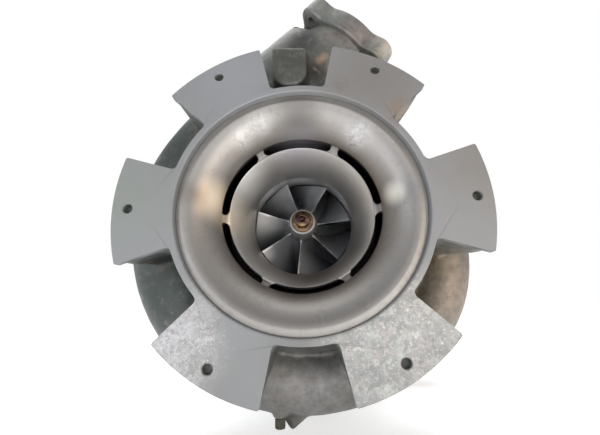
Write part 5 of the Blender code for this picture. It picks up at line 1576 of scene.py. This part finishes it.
class TURBOCHARGER_OT_gas_outlet(Operator):
    """Diffuser cone behind the turbine wheel, its bolts, and its drilled end flange."""

    bl_idname = "turbocharger.gas_outlet"
    bl_label = "Gas outlet"

    def execute(self, context):
        front, wall = near("gas_outlet_cone"), 0.014
        root = OUTLET_THROAT_R + 0.055
        cone = rounded([(OUTLET_THROAT_R, front, 0.001), (root, front, 0.002),
                        (root, front + 0.018, 0.003), (OUTLET_THROAT_R + wall + 0.003, front + 0.018, 0.010),
                        (OUTLET_MOUTH_R + wall, OUTLET_END, 0), (OUTLET_MOUTH_R, OUTLET_END, 0)], 6)
        parts = [turned(cone, 192)]
        parts += hexagon_bolts(circle_places(root - 0.016, front + 0.018, 12, np.radians(15)),
                               [SHAFT_WAY] * 12, 0.0088)
        piece("cast_gas_outlet_cone", parts, finish_named("hot_casting"), "housing",
              ("gas_outlet_cone",))
        start, end = near("gas_outlet_flange"), far("gas_outlet_flange")
        outer = reach("gas_outlet_flange")
        ring = rounded([(OUTLET_MOUTH_R, start, 0.0005), (outer, start, 0.003), (outer, end, 0.003),
                        (OUTLET_MOUTH_R + 0.018, end, 0.0005),
                        (OUTLET_MOUTH_R + 0.018, end - 0.001, 0), (OUTLET_MOUTH_R, end - 0.001, 0.001)],
                       5)
        flange = piece("cast_gas_outlet_flange", [turned(ring, 192)], finish_named("hot_casting"),
                       "housing", ("gas_outlet_flange",))
        for place in circle_places(0.166, start - 0.01, 12, np.radians(15)):
            cut(flange, [lathe([(0, 0), (0.009, 0), (0.009, 0.06), (0, 0.06)], place, SHAFT_WAY, 24,
                               False)])
        shade(flange, 35)
        return {"FINISHED"}


# Stage


CAMERA_PLACE = (0.00733, -0.9565, 0.2261)
CAMERA_BACK = np.array([0.0178, -0.963, -0.2689])
CAMERA_UP = np.array([0.0369, -0.2681, 0.9627])
CAMERA_LENS = 19.84


def soft_light(name, place, aim, size, power, tint):
    """An area light that faces a point."""
    data = bpy.data.lights.new(name, "AREA")
    data.shape = "RECTANGLE"
    data.size, data.size_y = size
    data.energy = power
    data.color = linear(tint)
    lamp = bpy.data.objects.new(name, data)
    away = np.array(place) - np.array(aim)
    axis, first, second = across(away)
    turn = np.eye(4)
    turn[:3, 0], turn[:3, 1], turn[:3, 2], turn[:3, 3] = first, second, axis, place
    lamp.matrix_world = Matrix(turn)
    bpy.context.scene.collection.objects.link(lamp)


class TURBOCHARGER_OT_stage(Operator):
    """Pale floor, soft studio light and the camera of the reference view."""

    bl_idname = "turbocharger.stage"
    bl_label = "Stage"

    def execute(self, context):
        scene = context.scene
        data = bpy.data.cameras.new("reference_camera")
        data.lens, data.sensor_width, data.sensor_fit = CAMERA_LENS, 36.0, "HORIZONTAL"
        data.clip_start = 0.02
        camera = bpy.data.objects.new("reference_camera", data)
        back = CAMERA_BACK / np.linalg.norm(CAMERA_BACK)
        right = np.cross(CAMERA_UP, back)
        right /= np.linalg.norm(right)
        turn = np.eye(4)
        turn[:3, 0], turn[:3, 1], turn[:3, 2] = right, np.cross(back, right), back
        turn[:3, 3] = CAMERA_PLACE
        camera.matrix_world = Matrix(turn)
        scene.collection.objects.link(camera)
        scene.camera = camera
        scene.view_settings.view_transform = "Standard"

        wide = np.linspace(-9, 9, 19)
        points = np.stack(np.broadcast_arrays(wide[:, None], wide[None, :], 0.0), -1)
        corners, quads = sheet(points)
        mesh = bpy.data.meshes.new("pale_floor")
        mesh.from_pydata(corners, [], quads)
        mesh.shade_smooth()
        floor = bpy.data.objects.new("pale_floor", mesh)
        scene.collection.objects.link(floor)
        paper = bpy.data.materials.new("pale_paper")
        paper.use_nodes = True
        shader = paper.node_tree.nodes["Principled BSDF"]
        shader.inputs["Base Color"].default_value = opaque(linear("#fafafa"))
        shader.inputs["Roughness"].default_value = 0.9
        shader.inputs["Emission Color"].default_value = (1.0, 1.0, 1.0, 1.0)
        shader.inputs["Emission Strength"].default_value = 0.5
        mesh.materials.append(paper)

        world = bpy.data.worlds.new("studio")
        world.use_nodes = True
        tree = world.node_tree
        room = tree.nodes["Background"]
        way = add_node(tree, "ShaderNodeTexCoord").outputs["Generated"]
        front = add_node(tree, "ShaderNodeSeparateXYZ", {"Vector": way}).outputs["Y"]
        bright = add_node(tree, "ShaderNodeMapRange", {"Value": front, "From Min": -0.75,
                                                       "From Max": -0.1, "To Min": 0.22,
                                                       "To Max": 1.0},
                          interpolation_type="SMOOTHSTEP").outputs["Result"]
        room.inputs["Color"].default_value = opaque(linear("#e9ebee"))
        tree.links.new(bright, room.inputs["Strength"])
        paper_white = add_node(tree, "ShaderNodeBackground", {"Color": (1, 1, 1, 1)})
        seen = add_node(tree, "ShaderNodeLightPath").outputs["Is Camera Ray"]
        both = add_node(tree, "ShaderNodeMixShader", {0: seen, 1: room.outputs[0],
                                                      2: paper_white.outputs[0]})
        tree.links.new(both.outputs[0], tree.nodes["World Output"].inputs["Surface"])
        scene.world = world
        centre = (0, 0, 0.4)
        soft_light("low_window", (0.95, -2.3, 0.10), centre, (0.8, 0.5), 8, "#ffffff")
        soft_light("left_window", (-1.35, -2.1, 0.70), centre, (0.5, 0.8), 7, "#f2f5ff")
        soft_light("warm_lamp", (1.20, -2.0, 0.62), centre, (0.35, 0.6), 4.5, "#ffd2a0")
        soft_light("front_fill", (0.0, -3.1, 0.55), centre, (2.0, 1.4), 20, "#ffffff")
        soft_light("ceiling", (0, 0.2, 3.6), centre, (3.0, 3.0), 90, "#ffffff")
        return {"FINISHED"}


class TURBOCHARGER_PT_pieces(Panel):
    """Lists the steps that build the finished turbocharger."""

    bl_label = "Marine turbocharger"
    bl_idname = "TURBOCHARGER_PT_pieces"
    bl_space_type = "VIEW_3D"
    bl_region_type = "UI"
    bl_category = "Turbocharger"

    def draw(self, context):
        looks = context.scene.turbocharger_looks
        for name in looks.bl_rna.properties.keys():
            if name not in ("rna_type", "name"):
                self.layout.prop(looks, name)
        for step in STEPS:
            self.layout.operator(step.bl_idname)


STEPS = (
    TURBOCHARGER_OT_stage,
    TURBOCHARGER_OT_inlet_pads,
    TURBOCHARGER_OT_inlet_ring,
    TURBOCHARGER_OT_bellmouth,
    TURBOCHARGER_OT_shroud_ring,
    TURBOCHARGER_OT_compressor_casting,
    TURBOCHARGER_OT_discharge_flange,
    TURBOCHARGER_OT_impeller,
    TURBOCHARGER_OT_shaft_nut,
    TURBOCHARGER_OT_turbine_rotor,
    TURBOCHARGER_OT_bearing_housing,
    TURBOCHARGER_OT_oil_fittings,
    TURBOCHARGER_OT_foot,
    TURBOCHARGER_OT_turbine_casing,
    TURBOCHARGER_OT_gas_outlet,
)
CLASSES = (TurbochargerLooks, *STEPS, TURBOCHARGER_PT_pieces)


def register():
    """Make the classes and the scene's settings known."""
    for kind in CLASSES:
        bpy.utils.register_class(kind)
    bpy.types.Scene.turbocharger_looks = PointerProperty(type=TurbochargerLooks)


def unregister():
    """Take the classes and the scene's settings away."""
    del bpy.types.Scene.turbocharger_looks
    for kind in reversed(CLASSES):
        bpy.utils.unregister_class(kind)


def main():
    """Build every piece in order."""
    register()
    for step in STEPS:
        group, name = step.bl_idname.split(".")
        getattr(getattr(bpy.ops, group), name)()


if __name__ == "__main__":
    main()
